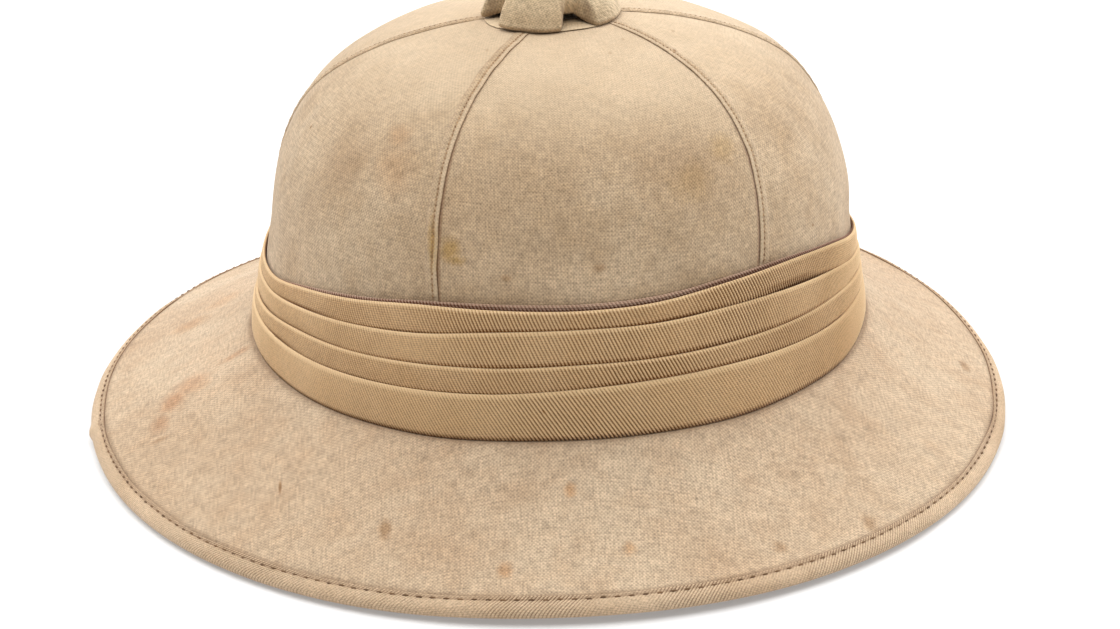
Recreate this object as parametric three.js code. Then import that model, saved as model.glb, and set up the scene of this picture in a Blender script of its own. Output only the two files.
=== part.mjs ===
// A cloth-covered pith helmet: six crown panels, a sloping brim with a bound edge,
// a folded puggaree round the foot of the crown and a lobed vent cap on top.
// Millimetres, +Z up, front towards -Y, origin on the floor under the middle of the brim.
import * as THREE from 'three';

const GAP = 0.3;
const STATIONS = 60;

// Brim, seen from above: an oval, a little longer behind the head than in front.
const RIM_HALF_WIDTH = 145.9;
const RIM_FRONT_LENGTH = 166.9;
const RIM_BACK_LENGTH = 176.9;
const RIM_WIDEST_Y = -5.0;
const BRIM_HALF_THICKNESS = 1.9;
const BRIM_FOOT_DEPTH = 4.6;
const BRIM_DIP = 1.4;
const TONGUE_HALF_THICKNESS = 1.2;

// Cloth binding folded over the rim.
const BINDING_WIDTH = 5.2;
const BINDING_HALF_THICKNESS = 2.3;
const BINDING_CLOTH = 0.8;
const BINDING_NOSE = 1.0;

// Crown: an oval dome whose wall stands upright above the band and flares out under it.
const CROWN_CENTRE = { x: 4.4, y: -5.0, z: 30.8 };
const CROWN_LEAN_DEG = { right: 0.33, back: 1.07 };
const CROWN_HALF_WIDTH = 91.6;
const CROWN_HALF_LENGTH = 108.3;
const CROWN_HEIGHT = 98.0;
const CROWN_WALL = 4.0;
const CROWN_DRIFT = { x: 3.0, y: 1.2 };
const OVAL_POWER = 1.9;
const SHOULDER_POWER = 4.16;
const TOP_POWER = 2.12;
const FLARE = 3.2;
const FLARE_HEIGHT = 34.0;
const CROWN_HOLE_SCALE = 0.14;
const PANEL_ROWS = 10;
const PANEL_COLUMNS = 8;

// Seams between the crown panels, as angles from the front, to the wearer's left positive.
const SEAMS = [
  { foot: -25.5, top: -31.5 },
  { foot: 36.5, top: 46.0 },
  { foot: 103.0, top: 95.0 },
  { foot: 154.0, top: 152.0 },
  { foot: 208.0, top: 210.0 },
  { foot: 260.0, top: 270.0 },
];
const LAP_WIDTH = 2.8;
const LAP_CLOTH = 0.5;
const LAP_STEPS = 14;

// Heights around the hat, a row every 30 degrees from the front, in millimetres: the rim
// above the floor, then the foot, the three fold lines and the top of the puggaree above
// the crown's own foot.
const AROUND = [
  { at: 0, rim: 2.4, foot: 0.9, fold3: 16.4, fold2: 23.1, fold1: 33.4, top: 38.6 },
  { at: 30, rim: 1.7, foot: -0.1, fold3: 16.8, fold2: 23.2, fold1: 34.0, top: 40.6 },
  { at: 60, rim: 0.9, foot: -0.1, fold3: 14.8, fold2: 22.8, fold1: 30.2, top: 37.4 },
  { at: 90, rim: 3.1, foot: 1.2, fold3: 16.5, fold2: 25.0, fold1: 28.9, top: 32.6 },
  { at: 120, rim: 5.3, foot: 0.5, fold3: 14.5, fold2: 22.2, fold1: 28.2, top: 31.8 },
  { at: 150, rim: 3.9, foot: 0.0, fold3: 14.3, fold2: 21.5, fold1: 29.5, top: 34.0 },
  { at: 180, rim: 1.1, foot: 0.5, fold3: 15.0, fold2: 22.0, fold1: 31.0, top: 36.5 },
  { at: 210, rim: 0.9, foot: 0.0, fold3: 13.5, fold2: 20.0, fold1: 29.0, top: 34.0 },
  { at: 240, rim: 3.0, foot: -0.5, fold3: 12.0, fold2: 17.0, fold1: 24.5, top: 29.0 },
  { at: 270, rim: 3.1, foot: -1.2, fold3: 11.2, fold2: 14.8, fold1: 20.9, top: 25.0 },
  { at: 300, rim: 1.1, foot: -2.8, fold3: 9.8, fold2: 17.1, fold1: 24.0, top: 29.6 },
  { at: 330, rim: 1.1, foot: -1.9, fold3: 11.8, fold2: 19.7, fold1: 28.5, top: 36.7 },
];

// Puggaree folds from the top down: each one stands out further than the fold above it.
const FOLDS = [
  { name: 'puggaree_fold_1', upper: 'top', lower: 'fold1', inset: 1.1, outAtUpper: 2.1, outAtLower: 2.8 },
  { name: 'puggaree_fold_2', upper: 'fold1', lower: 'fold2', inset: GAP, outAtUpper: 3.4, outAtLower: 3.8 },
  { name: 'puggaree_fold_3', upper: 'fold2', lower: 'fold3', inset: GAP, outAtUpper: 4.4, outAtLower: 4.8 },
  { name: 'puggaree_fold_4', upper: 'fold3', lower: 'foot', inset: GAP, outAtUpper: 5.4, outAtLower: 6.4 },
];
const FOLD_ROUNDING = 0.7;
const LINING = { thickness: 0.5, rise: 1.0, depth: 3.0 };

// Vent: a cloth base disc on the crown, a lobed cap over it and a plain post between them.
const VENT_CENTRE = { x: 0.0, y: -2.3 };
const VENT_BASE = { outer: 22.3, inner: 9.0, thickness: 0.7 };
const VENT_CAP = { radius: 21.2, height: 15.0, wall: 1.6, power: 1.8, columns: 48, rows: 8 };
const VENT_VALLEY = { first: 22.5, count: 4, halfWidth: 18.0, edge: 8.0, recess: 0.33, lift: 3.0, reach: 0.75 };
const VENT_POST = { radius: 6.5, flange: 16.0, flangeThickness: 1.5, top: 11.6 };
const VENT_SIDES = 32;

const radians = THREE.MathUtils.degToRad;

// Height of one column of the AROUND table at any angle, on a smooth closed curve.
function around(column, angle) {
  const count = AROUND.length;
  const place = (((angle % 360) + 360) % 360) / (360 / count);
  const i = Math.floor(place);
  const s = place - i;
  const [a, b, c, d] = [-1, 0, 1, 2].map((k) => AROUND[(i + k + count) % count][column]);
  const slopeIn = (c - a) / 2;
  const slopeOut = (d - b) / 2;
  const rise = c - b;
  const square = 3 * rise - 2 * slopeIn - slopeOut;
  const cube = slopeIn + slopeOut - 2 * rise;
  return b + slopeIn * s + square * s * s + cube * s * s * s;
}

// Point of a superellipse at an angle from the front.
function ovalPoint(angle, halfWidth, halfLength) {
  const side = Math.sin(radians(angle));
  const front = Math.cos(radians(angle));
  const sum = Math.abs(side) ** OVAL_POWER + Math.abs(front) ** OVAL_POWER;
  const scale = sum ** (-1 / OVAL_POWER);
  return { x: halfWidth * side * scale, y: -halfLength * front * scale };
}

// Share of the crown's width that is left at a share of its height.
function domeScale(share) {
  return (1 - Math.min(share, 1) ** SHOULDER_POWER) ** (1 / TOP_POWER);
}

// Share of the crown's height at a share of its width: the inverse of domeScale.
function domeHeight(scale) {
  return (1 - Math.min(scale, 1) ** TOP_POWER) ** (1 / SHOULDER_POWER);
}

// Point on the crown's wall, moved outwards by out, in the crown's own frame.
function wallPoint(angle, z, out) {
  const share = Math.max(z, 0) / (CROWN_HEIGHT + out);
  const scale = domeScale(share);
  const flare = FLARE * Math.max(0, 1 - z / FLARE_HEIGHT);
  const width = (CROWN_HALF_WIDTH + out) * scale + flare;
  const length = (CROWN_HALF_LENGTH + out) * scale + flare;
  const p = ovalPoint(angle, width, length);
  return new THREE.Vector3(p.x + CROWN_DRIFT.x * share ** 2, p.y + CROWN_DRIFT.y * share ** 2, z);
}

// Point beside the crown's upright wall, at a distance out that takes no part in the flare.
function besidePoint(angle, z, out) {
  const p = ovalPoint(angle, CROWN_HALF_WIDTH + out, CROWN_HALF_LENGTH + out);
  return new THREE.Vector3(p.x, p.y, z);
}

// Angle of a seam at a share of the crown's height.
function seamAngle(seam, share) {
  return seam.foot + (seam.top - seam.foot) * share ** 2;
}

// Signed volume of an indexed mesh, to tell whether its faces point outwards.
function signedVolume(points, faces) {
  let sum = 0;
  for (const [a, b, c] of faces) {
    sum += points[a].dot(points[b].clone().cross(points[c]));
  }
  return sum / 6;
}

// Closed body from points and triangles, with its faces turned outwards.
function solid(name, points, faces, finish) {
  const outward = signedVolume(points, faces) > 0;
  const geometry = new THREE.BufferGeometry();
  geometry.setAttribute('position', new THREE.Float32BufferAttribute(points.flatMap((p) => p.toArray()), 3));
  geometry.setIndex(faces.flatMap(([a, b, c]) => (outward ? [a, b, c] : [a, c, b])));
  geometry.computeVertexNormals();
  const mesh = new THREE.Mesh(geometry, new THREE.MeshStandardMaterial(finish));
  mesh.name = name;
  return mesh;
}

// Two triangles of each cell of a grid, which may close on itself either way.
function gridFaces(rows, columns, closeRows, closeColumns, first = 0) {
  const faces = [];
  for (let r = 0; r < (closeRows ? rows : rows - 1); r += 1) {
    for (let c = 0; c < (closeColumns ? columns : columns - 1); c += 1) {
      const r2 = (r + 1) % rows;
      const c2 = (c + 1) % columns;
      const [p, q, s, t] = [[r, c], [r, c2], [r2, c2], [r2, c]].map(([i, j]) => first + i * columns + j);
      faces.push([p, q, s], [p, s, t]);
    }
  }
  return faces;
}

// Closed ring: the same section, as a loop of points, at stations all the way round.
function ringSolid(name, section, finish, stations = STATIONS) {
  const rings = Array.from({ length: stations }, (_, i) => section((360 * i) / stations));
  return solid(name, rings.flat(), gridFaces(stations, rings[0].length, true, true), finish);
}

// Closed strip: a loop of points carried along a path and capped flat at both ends.
function stripSolid(name, sections, finish) {
  const size = sections[0].length;
  const points = sections.flat();
  const faces = gridFaces(sections.length, size, false, true);
  const last = (sections.length - 1) * size;
  for (let i = 1; i < size - 1; i += 1) {
    faces.push([0, i + 1, i], [last, last + i, last + i + 1]);
  }
  return solid(name, points, faces, finish);
}

// Closed slab between two grids of points of the same size, joined round their edges.
function slabSolid(name, outer, inner, finish) {
  const rows = outer.length;
  const columns = outer[0].length;
  const faces = gridFaces(rows, columns, false, false);
  const back = gridFaces(rows, columns, false, false, rows * columns);
  faces.push(...back.map(([a, b, c]) => [a, c, b]));
  const edge = [];
  for (let c = 0; c < columns - 1; c += 1) edge.push(c);
  for (let r = 0; r < rows - 1; r += 1) edge.push(r * columns + columns - 1);
  for (let c = columns - 1; c > 0; c -= 1) edge.push((rows - 1) * columns + c);
  for (let r = rows - 1; r > 0; r -= 1) edge.push(r * columns);
  edge.forEach((p, i) => {
    const q = edge[(i + 1) % edge.length];
    const [p2, q2] = [p + rows * columns, q + rows * columns];
    faces.push([p, p2, q2], [p, q2, q]);
  });
  return solid(name, [...outer.flat(), ...inner.flat()], faces, finish);
}

const FINISH = {
  crownCloth: { color: 0xd8c6a8, roughness: 0.95, metalness: 0 },
  brimCloth: { color: 0xd6be9a, roughness: 0.95, metalness: 0 },
  binding: { color: 0xdcc29c, roughness: 0.95, metalness: 0 },
  puggaree: { color: 0xbb9a6c, roughness: 0.95, metalness: 0 },
  lining: { color: 0x8c6f68, roughness: 0.9, metalness: 0 },
  ventCloth: { color: 0xc6b795, roughness: 0.95, metalness: 0 },
  post: { color: 0xb9ab8e, roughness: 0.7, metalness: 0 },
};

const helmet = new THREE.Group();
const crown = new THREE.Group();
crown.position.set(CROWN_CENTRE.x, CROWN_CENTRE.y, CROWN_CENTRE.z);
crown.rotation.set(-radians(CROWN_LEAN_DEG.back), radians(CROWN_LEAN_DEG.right), 0, 'YXZ');
crown.updateMatrix();
helmet.add(crown);

// Rim's outermost edge, at its own height above the floor.
function rimPoint(angle) {
  const side = Math.sin(radians(angle));
  const front = Math.cos(radians(angle));
  const length = front > 0 ? RIM_FRONT_LENGTH : RIM_BACK_LENGTH;
  return new THREE.Vector3(RIM_HALF_WIDTH * side, RIM_WIDEST_Y - length * front, around('rim', angle));
}

// Where the brim's upper face leaves the foot of the puggaree, or a point that far below it.
function brimFoot(angle, below = 0) {
  const out = FOLDS.at(-1).outAtLower + BINDING_CLOTH;
  return besidePoint(angle, around('foot', angle) - GAP - below, out).applyMatrix4(crown.matrix);
}

// Frame of the rim at an angle: down the slope outwards, and square to the brim upwards.
function rimFrame(angle) {
  const edge = rimPoint(angle);
  const length = Math.cos(radians(angle)) > 0 ? RIM_FRONT_LENGTH : RIM_BACK_LENGTH;
  const side = Math.sin(radians(angle)) / RIM_HALF_WIDTH;
  const front = Math.cos(radians(angle)) / length;
  const outwards = new THREE.Vector3(side, -front, 0).normalize();
  const inwards = brimFoot(angle).sub(edge);
  const slope = Math.atan2(inwards.z, -inwards.dot(outwards));
  const along = outwards.clone().multiplyScalar(Math.cos(slope)).setZ(-Math.sin(slope));
  const normal = outwards.clone().multiplyScalar(Math.sin(slope)).setZ(Math.cos(slope));
  return (u, v) => edge.clone().addScaledVector(along, u).addScaledVector(normal, v);
}

// Brim: a sloping ring from under the crown's foot down to a thin edge for the binding.
function brimSection(angle) {
  const rim = rimFrame(angle);
  const footHeight = around('foot', angle) - GAP;
  const place = (z, out) => wallPoint(angle, z, out).applyMatrix4(crown.matrix);
  const shoulder = -(BINDING_WIDTH + GAP);
  const tip = -(BINDING_NOSE + GAP);
  const edgeTop = rim(shoulder, BRIM_HALF_THICKNESS);
  const edgeBottom = rim(shoulder, -BRIM_HALF_THICKNESS);
  const foot = brimFoot(angle);
  const footUnder = brimFoot(angle, BRIM_FOOT_DEPTH);
  const across = (from, to, share) => {
    const p = from.clone().lerp(to, share);
    return p.setZ(p.z - BRIM_DIP * 4 * share * (1 - share));
  };
  return [
    place(footHeight, -CROWN_WALL),
    place(footHeight, 0),
    foot,
    across(foot, edgeTop, 0.3),
    across(foot, edgeTop, 0.65),
    edgeTop,
    rim(shoulder, TONGUE_HALF_THICKNESS),
    rim(tip, TONGUE_HALF_THICKNESS),
    rim(tip, -TONGUE_HALF_THICKNESS),
    rim(shoulder, -TONGUE_HALF_THICKNESS),
    edgeBottom,
    across(footUnder, edgeBottom, 0.65),
    across(footUnder, edgeBottom, 0.3),
    footUnder,
    place(footHeight - CROWN_WALL, -CROWN_WALL),
  ];
}
helmet.add(ringSolid('brim', brimSection, FINISH.brimCloth));

// Binding: a folded strip round the rim, pressed flat where it rests on the floor.
function bindingSection(angle) {
  const rim = rimFrame(angle);
  const outer = BINDING_HALF_THICKNESS;
  const inner = outer - BINDING_CLOTH;
  const loop = [
    rim(-BINDING_WIDTH, outer),
    rim(-BINDING_NOSE, outer),
    rim(-0.25, 0.6 * outer),
    rim(0, 0),
    rim(-0.25, -0.6 * outer),
    rim(-BINDING_NOSE, -outer),
    rim(-0.5 * BINDING_WIDTH, -outer),
    rim(-BINDING_WIDTH, -outer),
    rim(-BINDING_WIDTH, -inner),
    rim(-BINDING_NOSE, -inner),
    rim(-BINDING_NOSE, inner),
    rim(-BINDING_WIDTH, inner),
  ];
  return loop.map((p) => p.setZ(Math.max(p.z, 0)));
}
helmet.add(ringSolid('brim_binding', bindingSection, FINISH.binding));

// Crown panels: six curved gores that stand on the brim, with a hair's gap at each seam and
// a hole at the top.
function panelGrid(left, right, inset) {
  const end = Math.asin(domeHeight(CROWN_HOLE_SCALE) ** (SHOULDER_POWER / 2));
  return Array.from({ length: PANEL_ROWS + 1 }, (_, r) => {
    const turn = end * (r / PANEL_ROWS) ** 1.5;
    const share = Math.sin(turn) ** (2 / SHOULDER_POWER);
    const margin = (180 / Math.PI) * (GAP / 2 / (CROWN_HALF_WIDTH * Math.max(domeScale(share), 0.05)));
    const from = seamAngle(left, share) + margin;
    const to = seamAngle(right, share) - margin;
    return Array.from({ length: PANEL_COLUMNS + 1 }, (_column, c) => {
      const angle = from + ((to - from) * c) / PANEL_COLUMNS;
      const z = r === 0 ? around('foot', angle) : share * (CROWN_HEIGHT - inset);
      return wallPoint(angle, z, -inset);
    });
  });
}
SEAMS.forEach((seam, i) => {
  const next = SEAMS[(i + 1) % SEAMS.length];
  const turn = i + 1 === SEAMS.length ? 360 : 0;
  const right = { foot: next.foot + turn, top: next.top + turn };
  const outer = panelGrid(seam, right, 0);
  const inner = panelGrid(seam, right, CROWN_WALL);
  crown.add(slabSolid(`crown_panel_${i + 1}`, outer, inner, FINISH.crownCloth));
});

// Distance of a point from the vent's axis, in plan.
function fromVent(point) {
  return Math.hypot(point.x - VENT_CENTRE.x, point.y - VENT_CENTRE.y);
}

// Seam laps: a folded edge that runs up each seam from the puggaree to the vent's base.
function lapSections(seam) {
  const footHeight = around('top', seam.foot) + LINING.rise + 2 * GAP;
  let share = 0.9;
  while (fromVent(wallPoint(seam.top, share * CROWN_HEIGHT, 0)) > VENT_BASE.outer + 3 * GAP) share += 0.0005;
  const start = Math.asin((footHeight / CROWN_HEIGHT) ** (SHOULDER_POWER / 2));
  const end = Math.asin(share ** (SHOULDER_POWER / 2));
  return Array.from({ length: LAP_STEPS + 1 }, (_, k) => {
    const turn = start + (end - start) * (k / LAP_STEPS) ** 1.3;
    const height = Math.sin(turn) ** (2 / SHOULDER_POWER);
    const reach = (CROWN_HALF_WIDTH + CROWN_HALF_LENGTH) / 2 * domeScale(height);
    const half = (180 / Math.PI) * (LAP_WIDTH / 2 / reach);
    const middle = seamAngle(seam, height);
    const corner = (side, out) => wallPoint(middle + side * half, height * (CROWN_HEIGHT + out), out);
    const low = 1.3 * GAP;
    return [corner(-1, low), corner(-1, low + LAP_CLOTH), corner(1, low + LAP_CLOTH), corner(1, low)];
  });
}
SEAMS.forEach((seam, i) => {
  crown.add(stripSolid(`seam_lap_${i + 1}`, lapSections(seam), FINISH.crownCloth));
});

// Puggaree: a lining strip against the crown, and four folds stepping outwards as they go down.
function liningSection(angle) {
  const high = around('top', angle) + LINING.rise;
  const low = around('top', angle) - LINING.depth;
  const far = GAP + LINING.thickness;
  return [wallPoint(angle, low, GAP), wallPoint(angle, low, far), wallPoint(angle, high, far),
    wallPoint(angle, high, GAP)];
}
crown.add(ringSolid('puggaree_lining', liningSection, FINISH.lining));

function foldSection(fold, angle) {
  const high = around(fold.upper, angle);
  const low = around(fold.lower, angle) + (fold.lower === 'foot' ? 0 : GAP);
  return [
    wallPoint(angle, low, fold.inset),
    besidePoint(angle, low, fold.outAtLower),
    besidePoint(angle, (low + high) / 2, (fold.outAtLower + fold.outAtUpper) / 2 + 0.2),
    besidePoint(angle, high - FOLD_ROUNDING, fold.outAtUpper),
    besidePoint(angle, high, fold.outAtUpper - FOLD_ROUNDING / 2),
    wallPoint(angle, high, fold.inset),
  ];
}
FOLDS.forEach((fold) => {
  crown.add(ringSolid(fold.name, (angle) => foldSection(fold, angle), FINISH.puggaree));
});

// Height of the crown's surface above a point near its top, inset towards the hollow.
function crownTop(x, y, inset) {
  const width = (x - CROWN_DRIFT.x) / (CROWN_HALF_WIDTH - inset);
  const length = (y - CROWN_DRIFT.y) / (CROWN_HALF_LENGTH - inset);
  const scale = (Math.abs(width) ** OVAL_POWER + Math.abs(length) ** OVAL_POWER) ** (1 / OVAL_POWER);
  return (CROWN_HEIGHT - inset) * domeHeight(scale);
}

// Point at an angle and radius round the vent's axis.
function ventPoint(angle, radius, z) {
  const x = VENT_CENTRE.x + radius * Math.sin(radians(angle));
  const y = VENT_CENTRE.y - radius * Math.cos(radians(angle));
  return new THREE.Vector3(x, y, z);
}

// Vent base: a flat cloth ring that follows the crown's top.
function ventBaseSection(angle) {
  const seat = (radius) => {
    const p = ventPoint(angle, radius, 0);
    return crownTop(p.x, p.y, 0) + GAP;
  };
  const { outer, inner, thickness } = VENT_BASE;
  const middle = (outer + inner) / 2;
  return [
    ventPoint(angle, inner, seat(inner)),
    ventPoint(angle, middle, seat(middle)),
    ventPoint(angle, outer, seat(outer)),
    ventPoint(angle, outer, seat(outer) + thickness / 2),
    ventPoint(angle, outer - thickness, seat(outer) + thickness),
    ventPoint(angle, middle, seat(middle) + thickness),
    ventPoint(angle, inner, seat(inner) + thickness),
  ];
}
crown.add(ringSolid('vent_base', ventBaseSection, FINISH.ventCloth, VENT_SIDES));

// Height at which a foot of the cap stands on the vent base, at an angle round the vent.
function capSeat(angle) {
  const p = ventPoint(angle, VENT_CAP.radius, 0);
  return crownTop(p.x, p.y, 0) + VENT_BASE.thickness + 2 * GAP;
}

// How deep in a valley between two lobes an angle lies: 0 on a lobe, 1 along the valley.
function valleyDepth(angle) {
  const pitch = 360 / VENT_VALLEY.count;
  const turn = ((((angle - VENT_VALLEY.first) % pitch) + 1.5 * pitch) % pitch) - pitch / 2;
  return THREE.MathUtils.smoothstep(VENT_VALLEY.halfWidth - Math.abs(turn), 0, VENT_VALLEY.edge);
}

// Vent cap: a thin dome whose wall is pressed in and lifted at four valleys.
function capPoint(angle, share, inset) {
  const turn = share * (Math.PI / 2);
  const height = Math.sin(turn) ** (2 / VENT_CAP.power);
  const fade = Math.max(0, 1 - height / VENT_VALLEY.reach);
  const depth = valleyDepth(angle) * fade;
  const radius = (VENT_CAP.radius - inset) * Math.cos(turn) * (1 - VENT_VALLEY.recess * depth);
  const z = height * (VENT_CAP.height - inset) + VENT_VALLEY.lift * depth;
  return ventPoint(angle, radius, capSeat(angle) + (capSeat(0) - capSeat(angle)) * height + z);
}
function ventCap() {
  const { rows, columns, wall } = VENT_CAP;
  const shell = (inset) => Array.from({ length: rows }, (_, r) => (
    Array.from({ length: columns }, (_column, c) => capPoint((360 * c) / columns, r / rows, inset))
  ));
  const points = [...shell(0).flat(), ...shell(wall).flat()];
  const inner = rows * columns;
  const faces = gridFaces(rows, columns, false, true);
  faces.push(...gridFaces(rows, columns, false, true, inner).map(([a, b, c]) => [a, c, b]));
  const poles = [points.push(capPoint(0, 1, 0)) - 1, points.push(capPoint(0, 1, wall)) - 1];
  for (let c = 0; c < columns; c += 1) {
    const c2 = (c + 1) % columns;
    const last = (rows - 1) * columns;
    faces.push([last + c, last + c2, poles[0]], [inner + last + c2, inner + last + c, poles[1]]);
    faces.push([c, inner + c, inner + c2], [c, inner + c2, c2]);
  }
  return solid('vent_cap', points, faces, FINISH.ventCloth);
}
crown.add(ventCap());

// Vent post: a plain stem with a flange under the crown, between the cap and the hollow.
function ventPost() {
  const ceiling = crownTop(VENT_CENTRE.x, VENT_CENTRE.y - VENT_POST.flange, CROWN_WALL) - 2 * GAP;
  const top = capSeat(0) + VENT_POST.top;
  const { radius, flange, flangeThickness } = VENT_POST;
  const profile = [[0, ceiling - flangeThickness], [flange, ceiling - flangeThickness], [flange, ceiling],
    [radius, ceiling], [radius, top], [0, top]].map(([r, z]) => new THREE.Vector2(r, z));
  const points = [];
  const ringPoints = profile.slice(1, -1);
  for (const { x, y } of ringPoints) {
    for (let i = 0; i < VENT_SIDES; i += 1) points.push(ventPoint((360 * i) / VENT_SIDES, x, y));
  }
  const faces = gridFaces(ringPoints.length, VENT_SIDES, false, true);
  const bottom = points.push(ventPoint(0, 0, profile[0].y)) - 1;
  const cap = points.push(ventPoint(0, 0, profile.at(-1).y)) - 1;
  const last = (ringPoints.length - 1) * VENT_SIDES;
  for (let i = 0; i < VENT_SIDES; i += 1) {
    const j = (i + 1) % VENT_SIDES;
    faces.push([i, bottom, j], [last + i, last + j, cap]);
  }
  return solid('vent_post', points, faces, FINISH.post);
}
crown.add(ventPost());

helmet.updateMatrixWorld(true);

export default helmet;
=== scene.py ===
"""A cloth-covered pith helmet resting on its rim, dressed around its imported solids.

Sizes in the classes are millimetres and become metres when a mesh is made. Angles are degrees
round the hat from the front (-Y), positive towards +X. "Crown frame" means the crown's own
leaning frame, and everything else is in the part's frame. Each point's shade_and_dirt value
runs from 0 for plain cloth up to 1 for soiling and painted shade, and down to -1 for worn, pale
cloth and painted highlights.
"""

import logging
import math
from collections.abc import Callable
from dataclasses import dataclass
from enum import Enum

import bpy
import numpy as np
from mathutils import Matrix, Vector


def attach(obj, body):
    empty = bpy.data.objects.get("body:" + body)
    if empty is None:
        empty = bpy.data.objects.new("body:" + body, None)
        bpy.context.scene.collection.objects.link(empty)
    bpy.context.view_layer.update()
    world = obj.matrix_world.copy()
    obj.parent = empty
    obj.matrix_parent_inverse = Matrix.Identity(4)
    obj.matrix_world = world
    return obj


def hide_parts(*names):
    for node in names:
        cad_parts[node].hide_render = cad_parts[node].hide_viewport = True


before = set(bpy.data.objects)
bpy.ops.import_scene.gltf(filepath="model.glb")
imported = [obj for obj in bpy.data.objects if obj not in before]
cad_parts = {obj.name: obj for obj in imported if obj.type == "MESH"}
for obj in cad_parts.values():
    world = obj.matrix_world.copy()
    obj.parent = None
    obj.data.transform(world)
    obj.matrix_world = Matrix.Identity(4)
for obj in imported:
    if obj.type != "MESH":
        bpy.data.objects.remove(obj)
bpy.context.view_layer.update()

LOG = logging.getLogger("pith_helmet")
Array = np.ndarray
Colour = tuple[float, float, float, float]
Socket = bpy.types.NodeSocket
MM = 0.001
FULL_TURN = 360.0
CHORDS = 7200
CLOTH_MAP = "cloth"
# Name of each point's value that paints soiling and shade, wear and highlights into its cloth's colour
SHADE_AND_DIRT = "shade_and_dirt"

# Heights at even turns from the front: the rim's above the floor, the band's lines in the crown frame
HEIGHTS = {
    "rim": (2.2, 1.6, 0.9, 3.1, 5.3, 3.9, 1.1, 0.9, 3.0, 3.1, 1.1, 1.1),
    "foot": (0.9, -0.1, -0.1, 1.2, 0.5, 0.0, 0.5, 0.0, -0.5, -1.2, -2.8, -1.9),
    "fold3": (15.9, 16.7, 16.3, 14.9, 13.5, 12.6, 11.4, 10.8, 11.2, 12.4, 14.0, 14.5,
              15.0, 14.2, 13.3, 12.4, 11.2, 9.9, 8.7, 8.6, 9.0, 10.0, 11.5, 13.5),
    "fold2": (22.9, 22.9, 22.7, 22.1, 21.1, 18.9, 16.4, 15.2, 16.2, 18.6, 21.2, 21.6,
              22.0, 21.0, 19.8, 18.2, 16.2, 14.0, 12.4, 13.4, 15.9, 17.3, 19.2, 21.1),
    "fold1": (33.3, 33.2, 33.5, 32.2, 29.3, 25.0, 21.0, 19.8, 21.2, 24.5, 29.0, 30.2,
              31.0, 30.0, 29.0, 27.0, 24.5, 21.6, 19.3, 20.1, 22.9, 25.5, 28.2, 31.8),
    "top": (38.6, 39.0, 40.5, 40.2, 37.0, 31.6, 27.2, 25.6, 27.0, 30.5, 34.0, 35.2,
            36.5, 35.3, 34.0, 31.5, 29.5, 26.6, 24.0, 24.6, 28.9, 32.8, 36.6, 38.1),
}


def smooth(value: Array, low: Array, high: Array) -> Array:
    """Smooth step from 0 at low to 1 at high: 3s^2 - 2s^3 of the clamped share s."""
    share = np.clip((value - low) / (high - low), 0.0, 1.0)
    return share * share * (3.0 - 2.0 * share)


def bump(value: Array, centre: float, width: float) -> Array:
    """Bell curve exp(-((value - centre) / width)^2)."""
    return np.exp(-(((value - centre) / width) ** 2))


def turn_from(angle: Array, centre: float) -> Array:
    """Signed turn from centre to angle, between -180 and 180 degrees."""
    return (angle - centre + 180.0) % FULL_TURN - 180.0


def near(angle: Array, centre: float, width: float) -> Array:
    """Bell curve of the turn from centre to angle, width degrees wide."""
    return bump(turn_from(angle, centre), 0.0, width)


def travel(points: Array) -> Array:
    """Distance travelled along the points' first axis, averaged over their second if they have it."""
    steps = np.linalg.norm(np.diff(points, axis=0), axis=-1)
    return np.concatenate([[0.0], np.cumsum(steps if steps.ndim == 1 else steps.mean(axis=1))])


def unit(vectors: Array) -> Array:
    """Vectors of length 1 in the same directions."""
    return vectors / np.linalg.norm(vectors, axis=-1, keepdims=True)


@dataclass(frozen=True)
class Waves:
    """Slow unevenness of stretched cloth: a sum of cosine waves round the hat, tilted with height."""

    seed: int
    depth: float
    fewest: int
    most: int
    tilt: float = 0.07
    count: int = 9

    def at(self, angle: Array, height: Array = 0.0) -> Array:
        """Adds cosines of whole turns of the angle, each with its own phase and tilt.

        Args:
            angle: Angles round the hat, in degrees.
            height: Heights or distances across, in millimetres.

        Returns:
            Offsets in millimetres, about depth at most.
        """
        rng = np.random.default_rng(self.seed)
        total = np.zeros(np.broadcast(angle, height).shape)
        for _ in range(self.count):
            waves = rng.integers(self.fewest, self.most + 1)
            tilt, phase = rng.uniform(-self.tilt, self.tilt), rng.uniform(0.0, 2.0 * np.pi)
            total += np.cos(waves * np.radians(angle) + tilt * height + phase)
        return self.depth * total / math.sqrt(self.count)


class Loop:
    """A closed line round the hat, divided by its summed chord lengths."""

    def __init__(self, points_at: Callable[[Array], Array]) -> None:
        """Measures the line.

        Args:
            points_at: Gives the line's points at angles.
        """
        self.angles = np.linspace(0.0, FULL_TURN, CHORDS + 1)
        self.travelled = travel(points_at(self.angles))
        self.length = float(self.travelled[-1])

    def evenly(self, count: int) -> Array:
        """Angles that divide the line into equal lengths."""
        return np.interp(np.arange(count) / count * self.length, self.travelled, self.angles)

    def leaning(self, count: int, slide: Array) -> Array:
        """Angles of even columns whose rows slide round, so that the columns lean.

        Args:
            count: How many columns.
            slide: Lengths round the line, rows by columns or rows by one.

        Returns:
            Angles, rows by columns.
        """
        even = self.evenly(count)
        turns = np.concatenate([even - FULL_TURN, even, even + FULL_TURN])
        place = np.arange(count)[None, :] + slide / (self.length / count)
        return np.interp(place, np.arange(-count, 2 * count), turns)


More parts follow.
